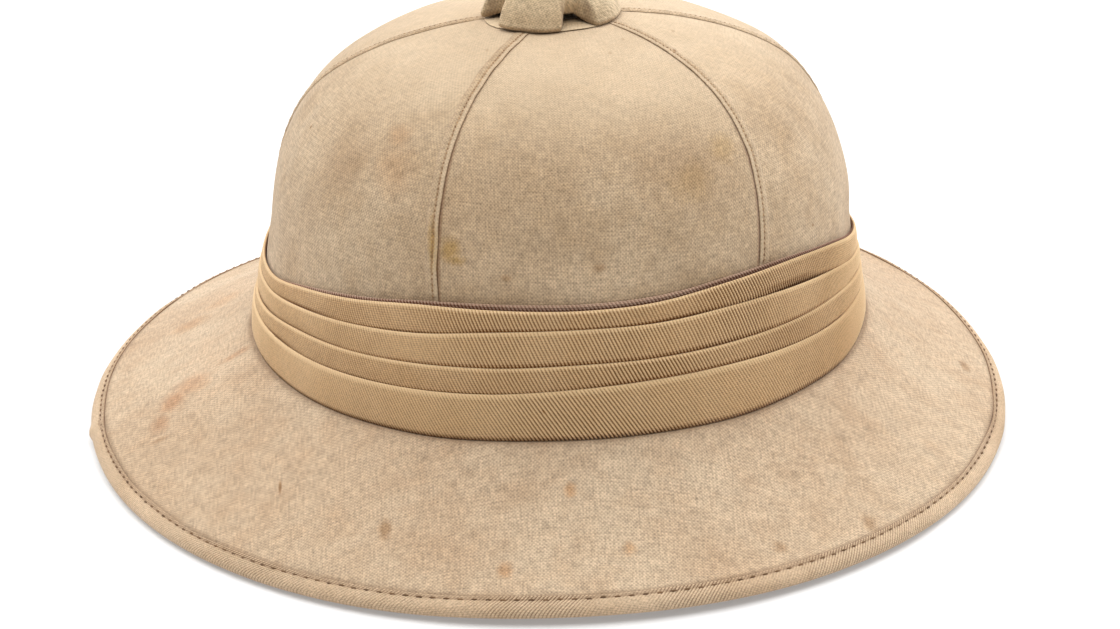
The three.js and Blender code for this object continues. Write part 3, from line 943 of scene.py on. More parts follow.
@dataclass(frozen=True)
class Stitches:
    """A row of short sewn stitches: small closed rods that dip into the cloth at their ends."""

    length: float
    radius: float
    dip: float
    rings: int = 5
    sides: int = 6
    last_ring: float = 0.88

    def rod(self) -> Array:
        """Points of one stitch, lying along X: its rings and then its two tips.

        The radius is radius times (1 - t^4)^(1/2) for t from -1 to 1 along the rod, and its line
        sinks by dip times t^2.

        Returns:
            One row a point.
        """
        t = np.linspace(-self.last_ring, self.last_ring, self.rings)[:, None]
        turn = np.linspace(0.0, 2.0 * np.pi, self.sides, endpoint=False)[None, :]
        radius, half = self.radius * np.sqrt(1.0 - t ** 4), self.length / 2.0
        rings = np.stack([t * half + 0.0 * turn, radius * np.cos(turn),
                          radius * np.sin(turn) - self.dip * t ** 2], -1).reshape(-1, 3)
        return np.concatenate([rings, [[-half, 0.0, -self.dip], [half, 0.0, -self.dip]]])

    def build(self, name: str, middle: Array, along: Array, out: Array) -> bpy.types.Object:
        """Builds all stitches of a row as one mesh, the same rod at every place.

        Args:
            name: The piece's name.
            middle: Middles of the stitches, one row each.
            along: Their directions.
            out: Directions out of the cloth.

        Returns:
            The new object.
        """
        along = unit(along)
        across = unit(np.cross(out, along))
        local = self.rod()
        axes = np.stack([along, across, np.cross(along, across)], 1)
        points = middle[:, None, :] + np.einsum("pk,nkj->npj", local, axes)
        side = np.arange(self.sides)
        after, tip = (side + 1) % self.sides, self.rings * self.sides
        last = tip - self.sides
        ring = (np.arange(self.rings - 1) * self.sides)[:, None]
        beyond = ring + self.sides
        walls = np.stack([ring + side, beyond + side, beyond + after, ring + after], -1)
        ends = [np.stack([side, after, np.full(self.sides, tip)], -1),
                np.stack([last + after, last + side, np.full(self.sides, tip + 1)], -1)]
        shift = (np.arange(len(middle)) * len(local))[:, None, None]
        piece = PieceMesh()
        piece.add_points(points, np.array(0.0))
        for faces in (walls.reshape(-1, 4), np.concatenate(ends)):
            piece.add_faces((faces[None] + shift).reshape(-1, faces.shape[1]))
        return piece.make(name)


@dataclass
class SeamLaps:
    """The lapped edges of the panels: a folded welt with a row of stitches up each seam.

    The profile's rows are distances from the seam and above the cloth, and shade_and_dirt: painted
    shade under the folded edge and in the stitch groove, and paler cloth along the welt's raised top.
    """

    shape: HatShape
    finish: ClothFinish
    thread: ThreadFinish
    sides: tuple[int, ...] = (-1, 1, -1, -1, 1, 1)
    steps: int = 300
    samples: int = 4000
    base_outer: float = 20.7
    clear_of_base: float = 26.0
    tucked_under: float = 2.0
    first_seed: int = 40
    stitch: Stitches = Stitches(length=1.0, radius=0.28, dip=0.14)
    stitch_seed: int = 70
    stitch_pitch: float = 1.65
    stitch_from_edge: float = 1.5
    stitch_rise: float = 0.30
    stitch_ends: tuple[float, float] = (3.6, 2.5)
    stitch_slant: tuple[float, float] = (0.22, 0.10)
    # Last column: painted shade under the folded edge and in the stitch groove, paler along the top.
    profile: tuple[tuple[float, float, float], ...] = (
        (0.00, 0.03, 0.9), (-0.12, 0.04, 0.9), (-0.18, 0.12, 0.7), (-0.12, 0.24, 0.1), (0.05, 0.35, -0.3),
        (0.50, 0.44, -0.4), (1.00, 0.42, -0.15), (1.30, 0.40, 0.15), (1.50, 0.34, 0.28), (1.72, 0.42, 0.10),
        (2.20, 0.54, -0.1), (3.00, 0.48, 0.0), (3.60, 0.28, 0.0), (4.00, 0.10, 0.12), (4.10, 0.02, 0.12),
        (2.00, 0.02, 0.0))

    def on_seam(self, seam: int, height: Array) -> Array:
        """Points of the crown's wall along a seam, in the crown frame."""
        return self.shape.on_wall(self.shape.seam_angle(seam, height / self.shape.height), height)

    def seam_heights(self, seam: int) -> Array:
        """Heights along a seam at even lengths of cloth, from below the band's top to under the vent.

        Args:
            seam: Which seam.

        Returns:
            Heights in the crown frame.
        """
        shape, power = self.shape, self.shape.shoulder_power
        foot = shape.around("top", shape.seams[seam][0]) - self.tucked_under
        lowest = np.arcsin((foot / shape.height) ** (power / 2.0))
        height = shape.height * np.sin(np.linspace(lowest, np.pi / 2.0, self.samples)) ** (2.0 / power)
        points = self.on_seam(seam, height)
        keep = shape.from_vent(points) > self.base_outer - self.tucked_under
        travelled = travel(points[keep])
        return np.interp(np.linspace(0.0, travelled[-1], self.steps), travelled, height[keep])

    def axes(self, seam: int, height: Array) -> tuple[Array, Array, Array, Array]:
        """Points on a seam with the directions across it, up along it and out of the cloth.

        Directions are differences of neighbouring points, and out is their cross product.

        Args:
            seam: Which seam.
            height: Heights along it.

        Returns:
            Points, across, along and out, in the crown frame.
        """
        angle = self.shape.seam_angle(seam, height / self.shape.height)
        left, points, right = (self.shape.on_cloth(angle + turn, height) for turn in (-0.05, 0.0, 0.05))
        along = np.gradient(points, axis=0)
        return points, unit(right - left), unit(along), unit(np.cross(right - left, along))

    def lift_at(self, seam: int, height: Array) -> Array:
        """How much of its full height the welt has: it dives under the band and the vent's base.

        Args:
            seam: Which seam.
            height: Heights along it.

        Returns:
            Shares, with a slight pucker.
        """
        above_band = height - self.shape.around("top", self.shape.seams[seam][0])
        from_vent = self.shape.from_vent(self.on_seam(seam, height))
        shown = smooth(above_band, 0.7, 2.2) * smooth(from_vent, self.base_outer, self.clear_of_base)
        pucker = 1.0 + 0.10 * np.cos(np.arange(len(height)) * 0.61 + seam)
        return (0.3 + 0.7 * shown) * pucker

    def build_lap(self, seam: int) -> bpy.types.Object:
        """Builds one welt: its closed profile carried up the seam, capped at both ends.

        Args:
            seam: Which seam.

        Returns:
            The new object.
        """
        height = self.seam_heights(seam)
        points, across, _, out = self.axes(seam, height)
        side, above, shade_and_dirt = np.array(self.profile).T
        wander = Waves(seed=self.first_seed + seam, depth=0.12, fewest=1, most=9, tilt=0.0).at(
            np.linspace(0.0, FULL_TURN, self.steps))
        beside = self.sides[seam] * side + wander[:, None]
        rise = above * self.lift_at(seam, height)[:, None]
        rows = points[:, None] + beside[..., None] * across[:, None] + rise[..., None] * out[:, None]
        cloth = np.stack(np.broadcast_arrays(side, travel(rows)[:, None]), -1)
        ends = self.shape.to_part(rows[[0, -1]].mean(axis=1))
        piece = PieceMesh()
        piece.add_grid(Grid(self.shape.to_part(rows), cloth, shade_and_dirt), round_columns=True)
        ring = np.arange(len(side))
        piece.add_cap(ring, ends[0], flip=True)
        piece.add_cap((self.steps - 1) * len(side) + ring, ends[1])
        return piece.make(f"welt_{seam + 1}")

    def build_stitches(self) -> bpy.types.Object:
        """Builds the stitches of all seams as one row each, in one mesh.

        Returns:
            The new object.
        """
        rows = []
        for seam, side in enumerate(self.sides):
            height = self.seam_heights(seam)
            points, across, along, out = self.axes(seam, height)
            travelled = travel(points)
            places = np.arange(self.stitch_ends[0], travelled[-1] - self.stitch_ends[1], self.stitch_pitch)
            at = np.interp(places, travelled, np.arange(self.steps))
            low = np.floor(at).astype(int)
            part = (at - low)[:, None]
            rng = np.random.default_rng(self.stitch_seed + seam)
            offset = side * self.stitch_from_edge + rng.normal(0.0, 0.07, len(places))
            slant = side * rng.normal(*self.stitch_slant, len(places))
            lift = self.stitch_rise * np.interp(places, travelled, self.lift_at(seam, height))
            middle = points[low] * (1 - part) + points[low + 1] * part
            rows.append((middle + across[low] * offset[:, None] + out[low] * lift[:, None],
                         along[low] + across[low] * slant[:, None], out[low]))
        middle, along, out = (self.shape.to_part(np.concatenate(v)) for v in zip(*rows))
        origin = self.shape.to_part(np.zeros(3))
        return self.stitch.build("seam_stitches", middle, along - origin, out - origin)

    def build(self) -> None:
        """Builds and dresses the welts and their stitches."""
        material = self.finish.make()
        for seam in range(len(self.shape.seams)):
            dress(self.build_lap(seam), material, "crown_cloth", f"seam_lap_{seam + 1}")
        dress(self.build_stitches(), self.thread.make(), "crown_cloth")


@dataclass(frozen=True)
class Fold:
    """One layer of the puggaree: its lines, how far it stands out, its ribs' lean, seed and tone."""

    upper: str
    lower: str
    out_upper: float
    out_lower: float
    lean: float
    seed: int
    tone: float


@dataclass
class Puggaree:
    """The folded twill band: four layers that step outwards, and the ribbon that peeps over them.

    The wedge, the left draw, the pale side and the ribbon's peak each have an angle, a width
    and a strength.
    The ribbon profile's rows are the share of its height, the distance out and how much of its
    ribs shows.
    """

    shape: HatShape
    finish: ClothFinish
    ribbon_finish: ClothFinish
    rib_line: float = 4.0
    rib_pitch: float = 1.1
    rib_depth: float = 0.25
    rib_form: tuple[float, ...] = (1.0, 0.45, -1.0, 0.45)
    # Painted light on the ribs: ridge_tone pales the ridges as a painted highlight, flank_tones paint shade
    # on their flanks near the front and on the right.
    ridge_tone: float = -0.6
    flank_tones: tuple[float, float] = (0.1, 0.25)
    worn_ribs: float = 0.62
    thickness: float = 0.62
    belly: float = 1.12
    tuck: float = 2.2
    tuck_in: float = 0.3
    foot_tuck: float = 0.1
    foot_in: float = 0.35
    face_rows: int = 10
    roll_rows: int = 5
    ribbed_roll_rows: int = 3
    roll_from: float = 25.0
    back_rows: tuple[float, ...] = (0.72, 0.36, 0.0)
    wedge: tuple[float, float, float] = (45.0, 13.0, 0.6)
    left_draw: tuple[float, float, float] = (-120.0, 30.0, 1.3)
    # Pales the ridges round this angle.
    pale_side: tuple[float, float, float] = (82.0, 24.0, 0.5)
    foot_draw_reach: tuple[float, float] = (1.6, 5.4)
    folds: tuple[Fold, ...] = (
        Fold("top", "fold1", 2.1, 2.8, 25.0, 21, -0.05), Fold("fold1", "fold2", 3.4, 3.8, 25.0, 22, -0.22),
        Fold("fold2", "fold3", 4.4, 4.8, 28.0, 23, -0.1), Fold("fold3", "foot", 5.4, 6.4, 33.0, 24, -0.33))
    ribbon_line: float = 0.5
    ribbon_pitch: float = 1.15
    ribbon_depth: float = 3.0
    ribbon_least: float = 0.15
    ribbon_peak: tuple[float, float, float] = (5.0, 27.0, 0.95)
    ribbon_side_drop: float = 0.6
    ribbon_rib: float = 0.12
    ribbon_lean: float = 0.7
    ribbon_waves: Waves = Waves(seed=31, depth=0.10, fewest=2, most=12)
    ribbon_profile: tuple[tuple[float, float, float], ...] = (
        (0.0, 0.55, 1.0), (0.35, 0.58, 1.0), (0.6, 0.62, 1.0), (0.8, 0.60, 1.0), (0.93, 0.50, 1.0),
        (1.0, 0.36, 0.6), (1.0, 0.22, 0.2), (0.9, 0.12, 0.0), (0.5, 0.10, 0.0), (0.0, 0.10, 0.0))

    def profile(self, fold: Fold, low: Array, high: Array) -> tuple[Array, Array, Array, Array]:
        """Heights and distances out along a layer's closed profile.

        The face rises from a tucked lower edge to a rolled upper edge, with a slight belly; the
        roll is half a circle, and the back drops straight to the lower edge.

        Args:
            fold: The layer.
            low: Heights of its lower line.
            high: Heights of its upper line.

        Returns:
            Heights, distances out, shade_and_dirt values, and how much of the ribs shows, rows by columns.
        """
        tucked, level, radius = fold.lower != "foot", 0.0 * high, self.thickness / 2.0
        bottom = low - (self.tuck if tucked else self.foot_tuck)
        rise, lean = high - radius - bottom, fold.out_upper - fold.out_lower
        face = bottom + rise * np.linspace(0.0, 1.0, self.face_rows)[:, None] ** (0.8 if tucked else 1.0)
        up = np.clip((face - low) / (high - low), 0.0, 1.0)
        inward = (self.tuck_in * smooth(low + 0.1 - face, 0.0, 1.2) if tucked
                  else self.foot_in * smooth(low + 0.9 - face, 0.0, 0.9))
        turn = np.radians(np.linspace(self.roll_from, 180.0, self.roll_rows))[:, None]
        back = np.array(self.back_rows)[:, None]
        z = np.concatenate([face, high - radius + radius * np.sin(turn), bottom + rise * back])
        out = np.concatenate([
            fold.out_lower + lean * up + self.belly * up * (1.0 - up) - inward,
            fold.out_upper - radius + radius * np.cos(turn) + level,
            fold.out_lower - self.tuck_in * tucked + lean * back - self.thickness + level])
        # Painted shade: a dark line on the face just above its lower line, darkening over the roll to its
        # far side, and the back face dark.
        shade_and_dirt = np.concatenate([
            1.1 * smooth(low + 0.6 - face, 0.0, 0.45),
            np.linspace(0.0, 0.9, self.roll_rows)[:, None] ** 2.0 + level, 0.9 + 0.0 * back + level])
        ribbed = np.arange(len(z)) < self.face_rows + self.ribbed_roll_rows
        return z, out, shade_and_dirt, ribbed[:, None] + 0.0 * z

    def on_lines(self, fold: Fold, low: Array, high: Array) -> tuple[Array, Array, Array, Array]:
        """Profile with each point's own lower and upper line, as its angle differs from row to row.

        Args:
            fold: The layer.
            low: Heights of its lower line, rows by columns.
            high: Heights of its upper line, rows by columns.

        Returns:
            What profile returns, with the heights moved by each row's share of both lines' change.
        """
        z, out, shade_and_dirt, shown = self.profile(fold, low[:1], high[:1])
        up = np.clip((z - low[:1]) / (high[:1] - low[:1]), 0.0, 1.0)
        return z + (low - low[:1]) * (1.0 - up) + (high - high[:1]) * up, out, shade_and_dirt, shown

    def valley(self, fold: Fold, angle: Array, z: Array, low: Array) -> Array:
        """Depth of the wedge where the first layer's foot turns in, on the right of the front.

        Args:
            fold: The layer.
            angle: Angles, rows by columns.
            z: Heights.
            low: Heights of the layer's lower line.

        Returns:
            Distances inwards, 0 for the other layers.
        """
        centre, width, depth = self.wedge
        reach = near(angle, centre, width) * (fold.upper == "top")
        return depth * reach * smooth(low + 0.3 + 2.3 * reach - z, -0.3, 0.5)

    def leaning_angles(self, fold: Fold, loop: Loop, count: int) -> Array:
        """Angles of a layer's points, with its columns leaning along the ribs.

        A column starts at an even length round the band and moves round by the tangent of the
        lean as it goes down, so that every rib keeps its own columns. Heights depend on angles in
        turn, so this is worked out three times over.

        Args:
            fold: The layer.
            loop: The line along which the ribs are counted.
            count: How many columns.

        Returns:
            Angles, rows by columns.
        """
        angle = even = loop.evenly(count)[None, :]
        sway = Waves(seed=fold.seed, depth=0.35, fewest=3, most=11).at(even)
        for _ in range(3):
            low, high = (self.shape.around(line, angle[:1]) for line in (fold.lower, fold.upper))
            down = self.shape.around(fold.upper, even) - self.profile(fold, low, high)[0]
            angle = loop.leaning(count, np.tan(np.radians(fold.lean)) * down + sway)
        return angle

    def drawn_in(self, fold: Fold, angle: Array, z: Array) -> Array:
        """How much closer to the crown a layer lies: on the left, and on the right towards the foot.

        Args:
            fold: The layer.
            angle: Angles, rows by columns.
            z: Heights.

        Returns:
            Distances inwards.
        """
        centre, width, depth = self.left_draw
        nearest, furthest = self.foot_draw_reach
        share = np.clip((fold.out_upper - nearest) / (furthest - nearest), 0.0, 1.0)
        left = depth * near(angle, centre, width) * smooth(z, 9.0, 18.0)
        return left + self.shape.drawn_in(angle) * share

    def rib_tone(self, angle: Array, ridge: Array, crisp: Array) -> Array:
        """Painted light of the ribs: painted shade in the grooves and on the flanks, darker on the right,
        and ridges paled as a painted highlight, paler still round the pale side.

        Args:
            angle: Angles, rows by columns.
            ridge: Height of the ribs from -1 to 1.
            crisp: Share of the ribs' depth that is left.

        Returns:
            Their shade_and_dirt values.
        """
        near_front, on_right = self.flank_tones
        flank = near_front + (on_right - near_front) * smooth(turn_from(angle, 0.0), 30.0, 65.0)
        tone = crisp * np.where(ridge < 0.0, 1.0, np.where(ridge > 0.9, self.ridge_tone, flank))
        centre, width, strength = self.pale_side
        return tone - strength * (ridge > 0.0) * near(angle, centre, width)

    def build_fold(self, number: int, fold: Fold) -> bpy.types.Object:
        """Builds one layer: its profile on leaning columns, ribbed, uneven and drawn in.

        Args:
            number: Which layer, from 1 at the top.
            fold: Its sizes.

        Returns:
            The new object.
        """
        shape = self.shape
        loop = Loop(lambda turn: shape.beside(turn, 0.0, self.rib_line))
        count = int(round(loop.length / self.rib_pitch)) * len(self.rib_form)
        angle = self.leaning_angles(fold, loop, count)
        low, high = shape.around(fold.lower, angle), shape.around(fold.upper, angle)
        z, out, shade_and_dirt, shown = self.on_lines(fold, low, high)
        ridge = np.resize(self.rib_form, count)[None, :]
        crisp = self.worn_ribs + (1.0 - self.worn_ribs) * smooth(turn_from(angle, 35.0), -75.0, -20.0)
        crisp = crisp * (1.0 + Waves(seed=fold.seed + 30, depth=0.25, fewest=3, most=14).at(angle, z))
        slow = Waves(seed=fold.seed + 10, depth=0.16, fewest=3, most=14, tilt=0.12).at(angle, z)
        dent = self.valley(fold, angle, z, low)
        out = out + shown * (self.rib_depth * ridge * crisp + slow) - dent - self.drawn_in(fold, angle, z)
        # Painted shade in the grooves, on the flanks and in the wedge, painted highlights on the ridges, and
        # the top edge paler: wear and a painted highlight where the fold catches the light.
        tone = self.rib_tone(angle, ridge, crisp) + 0.8 * dent + fold.tone
        shade_and_dirt = shade_and_dirt + shown * (tone - 0.85 * smooth(z, high - 0.6, high - 0.3))
        points = shape.to_part(shape.beside(angle, z, out))
        return ring_piece(f"puggaree_layer_{number}", points, shade_and_dirt, loop.length, 2.0)

    def build_ribbon(self) -> bpy.types.Object:
        """Builds the ribbon behind the top layer: a thin strip with ribs across it.

        Returns:
            The new object.
        """
        shape = self.shape
        loop = Loop(lambda turn: shape.beside(turn, 0.0, self.ribbon_line))
        count = int(round(loop.length / self.ribbon_pitch)) * 4
        even = loop.evenly(count)
        share, thick, front = (v[:, None] for v in np.array(self.ribbon_profile).T)
        centre, width, peak = self.ribbon_peak
        rise = self.ribbon_least + peak * near(even, centre, width) + self.ribbon_waves.at(even)
        rise = rise - self.ribbon_side_drop * smooth(np.abs(turn_from(even, 0.0)), 58.0, 80.0)
        rise = rise + self.ribbon_depth
        angle = loop.leaning(count, self.ribbon_lean * (1.0 - share) * rise)
        top = shape.around("top", angle)
        rib = np.cos(np.pi * np.arange(count) / 2.0)[None, :]
        z = top - self.ribbon_depth + rise * share + self.ribbon_rib * rib * (share >= 0.9)
        out = shape.gap * 0.6 + thick + self.ribbon_rib * rib * front
        points = shape.to_part(shape.on_cloth(angle, z, out))
        # Painted shade below the band's top line, and on the front painted shade in the rib grooves and
        # paler ridges.
        shade_and_dirt = 0.7 * smooth(top + 0.2 - z, 0.0, 0.4) + np.where(rib < -0.5, 0.6, -0.4 * (rib > 0.5)) * front
        return ring_piece("puggaree_ribbon", points, shade_and_dirt, loop.length, 1.0)

    def build(self) -> None:
        """Builds and dresses the layers and the ribbon."""
        material = self.finish.make()
        for number, fold in enumerate(self.folds, start=1):
            dress(self.build_fold(number, fold), material, "puggaree_cloth", f"puggaree_fold_{number}")
        dress(self.build_ribbon(), self.ribbon_finish.make(), "puggaree_ribbon", "puggaree_lining")


@dataclass
class Brim:
    """The sloping brim: stiff, cloth-covered, thinned to a tongue inside the binding.

    A crease is a ridge between two plan points, with its width and height.
    """

    shape: HatShape
    finish: ClothFinish
    half_thickness: float = 1.9
    foot_depth: float = 4.6
    dip: float = 1.4
    tongue: float = 1.2
    binding_width: float = 5.2
    binding_nose: float = 1.0
    columns: int = 760
    top_rows: int = 60
    under_rows: int = 14
    slow_waves: Waves = Waves(seed=51, depth=0.42, fewest=2, most=8, tilt=0.9)
    fine_waves: Waves = Waves(seed=52, depth=0.10, fewest=14, most=44, tilt=2.2)
    puckers: tuple[float, ...] = (-78.0, -70.0, -61.0, -54.0, 118.0, 131.0)
    pucker_depth: float = 0.28
    creases: tuple[tuple[float, float, float, float, float, float], ...] = (
        (60.0, -118.5, 97.0, -106.0, 0.9, 0.42), (64.0, -112.0, 86.0, -103.0, 1.0, 0.22),
        (8.8, -123.0, 5.6, -168.0, 0.7, 0.12), (-84.5, -110.0, -81.5, -99.0, 0.6, 0.2))

    def unevenness(self, angle: Array, share: Array) -> Array:
        """Slow waves and puckers of the brim's upper cloth, none at its two edges.

        Args:
            angle: Angles in degrees.
            share: Shares of the way from the crown to the binding.

        Returns:
            Heights.
        """
        waves = self.slow_waves.at(angle, share * 3.0) + self.fine_waves.at(angle, share * 6.0)
        pucker = sum(self.pucker_depth * near(angle, place, 1.7) * bump(share, 0.72, 0.25)
                     for place in self.puckers)
        return (waves + pucker) * smooth(share, 0.0, 0.12) * smooth(1.0 - share, 0.0, 0.10)

    def creased(self, points: Array) -> Array:
        """Height of the sharp creases over plan points: a narrow ridge along each straight line.

        Args:
            points: Points whose x and y count.

        Returns:
            Heights.
        """
        total = np.zeros(points.shape[:-1])
        for x1, y1, x2, y2, width, height in self.creases:
            length = math.hypot(x2 - x1, y2 - y1)
            east, north = (x2 - x1) / length, (y2 - y1) / length
            x, y = points[..., 0] - x1, points[..., 1] - y1
            ahead = x * east + y * north
            ends = smooth(ahead, 0.0, 6.0) * smooth(length - ahead, 0.0, 6.0)
            total += height * bump(x * north - y * east, 0.0, width) * ends
        return total

    def face(self, start: Array, end: Array, share: Array) -> Array:
        """Points along one face, on straight lines that dip by dip times 4s(1 - s).

        Args:
            start: Points at one edge.
            end: Points at the other edge.
            share: Shares s of the way between them, one a row.

        Returns:
            Points, rows by columns.
        """
        points = start + (end - start) * share[:, None, None]
        points[..., 2] -= self.dip * 4.0 * (share * (1.0 - share))[:, None]
        return points

    def build_mesh(self) -> bpy.types.Object:
        """Builds the brim as a closed profile carried round: two faces joined by a thin tongue.

        Returns:
            The new object.
        """
        shape = self.shape
        angle = np.linspace(0.0, FULL_TURN, self.columns, endpoint=False)[None, :]
        foot_height = shape.around("foot", angle) - shape.gap
        inner_top, inner_low = (shape.to_part(shape.on_wall(angle, foot_height - below, -shape.wall))
                                for below in (0.0, shape.wall))
        foot, under = shape.brim_foot(angle), shape.brim_foot(angle, self.foot_depth)
        shoulder, tip = -(self.binding_width + 0.06), -(self.binding_nose + shape.gap)
        edge_top, *tongue, edge_low = (shape.on_rim(angle, 0.0 * angle + along, 0.0 * angle + above)
                                       for along, above in (
            (shoulder, self.half_thickness), (shoulder + 0.1, self.tongue), (tip, self.tongue),
            (tip + 0.3, 0.0), (tip, -self.tongue), (shoulder + 0.1, -self.tongue),
            (shoulder, -self.half_thickness)))
        down = np.linspace(0.0, 1.0, self.top_rows)
        top = self.face(foot, edge_top, down)
        top[..., 2] += self.unevenness(angle, down[:, None]) + self.creased(top)
        below = self.face(edge_low, under, np.linspace(0.0, 1.0, self.under_rows))
        points = np.concatenate([inner_top, top, *tongue, below, inner_low])
        distance = down * np.linalg.norm(edge_top - foot, axis=-1).mean()
        # Painted shade: a dark line on the brim along the band's foot, a darker strip where the binding's
        # inner edge shades it, and the tongue dark where it runs under the binding.
        shade_and_dirt = np.zeros(points.shape[:2])
        shade_and_dirt[1:self.top_rows + 1] = (0.40 * np.exp(-distance / 0.9)
                                     + 0.34 * smooth(distance - distance[-1], -2.0, -1.4))[:, None]
        shade_and_dirt[self.top_rows + 1:self.top_rows + 3] = 0.9
        piece = PieceMesh()
        piece.add_grid(Grid(points, points[..., :2], shade_and_dirt), round_columns=True, round_rows=True)
        return piece.make("brim_cover")

    def build(self) -> None:
        """Builds and dresses the brim."""
        dress(self.build_mesh(), self.finish.make(), "brim_cloth", "brim")


@dataclass
class Binding:
    """The bias strip of twill folded over the rim, with its stitches."""

    shape: HatShape
    finish: ClothFinish
    thread: ThreadFinish
    width: float = 5.7
    core: float = 1.35
    nose: float = 1.0
    rib_pitch: float = 1.12
    rib_depth: float = 0.13
    rib_form: tuple[float, ...] = (0.55, 1.0, 0.85, 0.2, -1.0)
    patches: Waves = Waves(seed=63, depth=0.3, fewest=5, most=30, tilt=0.0)
    edge_waves: Waves = Waves(seed=61, depth=0.22, fewest=4, most=26, tilt=0.0)
    swell_waves: Waves = Waves(seed=62, depth=0.10, fewest=6, most=40, tilt=0.0)
    join_at: float = -82.3
    join_width: float = 1.3
    join_step: float = 0.9
    join_swell: float = 0.10
    stitch: Stitches = Stitches(length=2.0, radius=0.33, dip=0.30)
    stitch_seed: int = 63
    stitch_pitch: float = 4.1
    stitch_in: float = 1.3
    stitch_height: float = 2.12

    def outline(self) -> Array:
        """Closed profile: along the slope, above it, rib share and shade_and_dirt, from the upper inner edge
        out; the last paints shade along the inner edge and under the nose.

        Returns:
            One row a point.
        """
        width, core = self.width, self.core
        return np.array([
            (-width, core + 0.12, 0.0, 0.8), (-width - 0.04, core + 0.55, 0.5, 0.95),
            (-width + 0.14, 2.18, 0.9, 0.36), (-width + 0.6, 2.2, 0.9, 0.28),
            (-width + 1.3, 1.98, 0.7, 0.48), (-width + 1.75, 2.12, 1.0, 0.05),
            (-width + 2.3, 2.12, 1.0, -0.1), (-2.3, 1.95, 1.0, -0.1), (-1.3, 1.66, 1.0, 0.0),
            (-0.6, 1.20, 1.0, 0.0), (-0.12, 0.55, 0.9, 0.0), (0.0, -0.1, 0.6, 0.1),
            (-0.18, -0.8, 0.3, 0.3), (-0.9, -1.5, 0.1, 0.5), (-2.2, -1.8, 0.0, 0.5),
            (-width, -2.05, 0.0, 0.3),
            (-width, -core - 0.12, 0.0, 0.5), (-self.nose, -core, 0.0, 0.5), (-self.nose, core, 0.0, 0.5)])

    def rim_loop(self) -> Loop:
        """The rim's edge as a closed line."""
        return Loop(lambda turn: self.shape.rim_edge(turn)[0])

    def build_strip(self) -> bpy.types.Object:
        """Builds the strip, with its columns leaning by 45 degrees along the ribs.

        Returns:
            The new object.
        """
        loop = self.rim_loop()
        count = int(round(loop.length / self.rib_pitch)) * len(self.rib_form)
        beside, over, ribbed, shade_and_dirt = (v[:, None] for v in self.outline().T)
        angle = loop.leaning(count, -beside * np.sign(over + 0.01))
        ridge = np.resize(self.rib_form, count)[None, :]
        shown = ribbed * np.clip(0.7 + self.patches.at(angle), 0.35, 1.0)
        join = near(angle, self.join_at, self.join_width)
        inner = smooth(-beside, 3.4, self.width) * (over > 1.4)
        along = beside + self.edge_waves.at(angle) * inner + join * self.join_step * (1.0 - inner)
        above = over * (1.0 + self.join_swell * join)
        above = above + shown * (self.rib_depth * ridge + self.swell_waves.at(angle))
        points = self.shape.on_rim(angle, along, above)
        points[..., 2] = np.maximum(points[..., 2], 0.0)
        # Painted shade in the rib grooves, and paler ridges.
        tone = 0.75 * (ridge < 0.0) + 0.15 * (ridge == 0.2) - 0.25 * (ridge > 0.7)
        return ring_piece("binding_strip", points, shade_and_dirt + shown * tone, loop.length, 1.0)

    def build_stitches(self) -> bpy.types.Object:
        """Builds the stitches along the strip's inner edge.

        Returns:
            The new object.
        """
        loop = self.rim_loop()
        count = int(round(loop.length / self.stitch_pitch))
        angle, above = loop.evenly(count), np.full(count, self.stitch_height)
        rng = np.random.default_rng(self.stitch_seed)
        along = -self.width + self.stitch_in + rng.normal(0.0, 0.08, count)
        middle = self.shape.on_rim(angle, along, above)
        ahead = self.shape.on_rim(angle + 0.05, along, above) - middle
        out = self.shape.on_rim(angle, along, above + 1.0) - middle
        return self.stitch.build("rim_stitches", middle, ahead, out)

    def build(self) -> None:
        """Builds and dresses the strip and its stitches."""
        dress(self.build_strip(), self.finish.make(), "binding_cloth", "brim_binding")
        dress(self.build_stitches(), self.thread.make(), "binding_cloth")


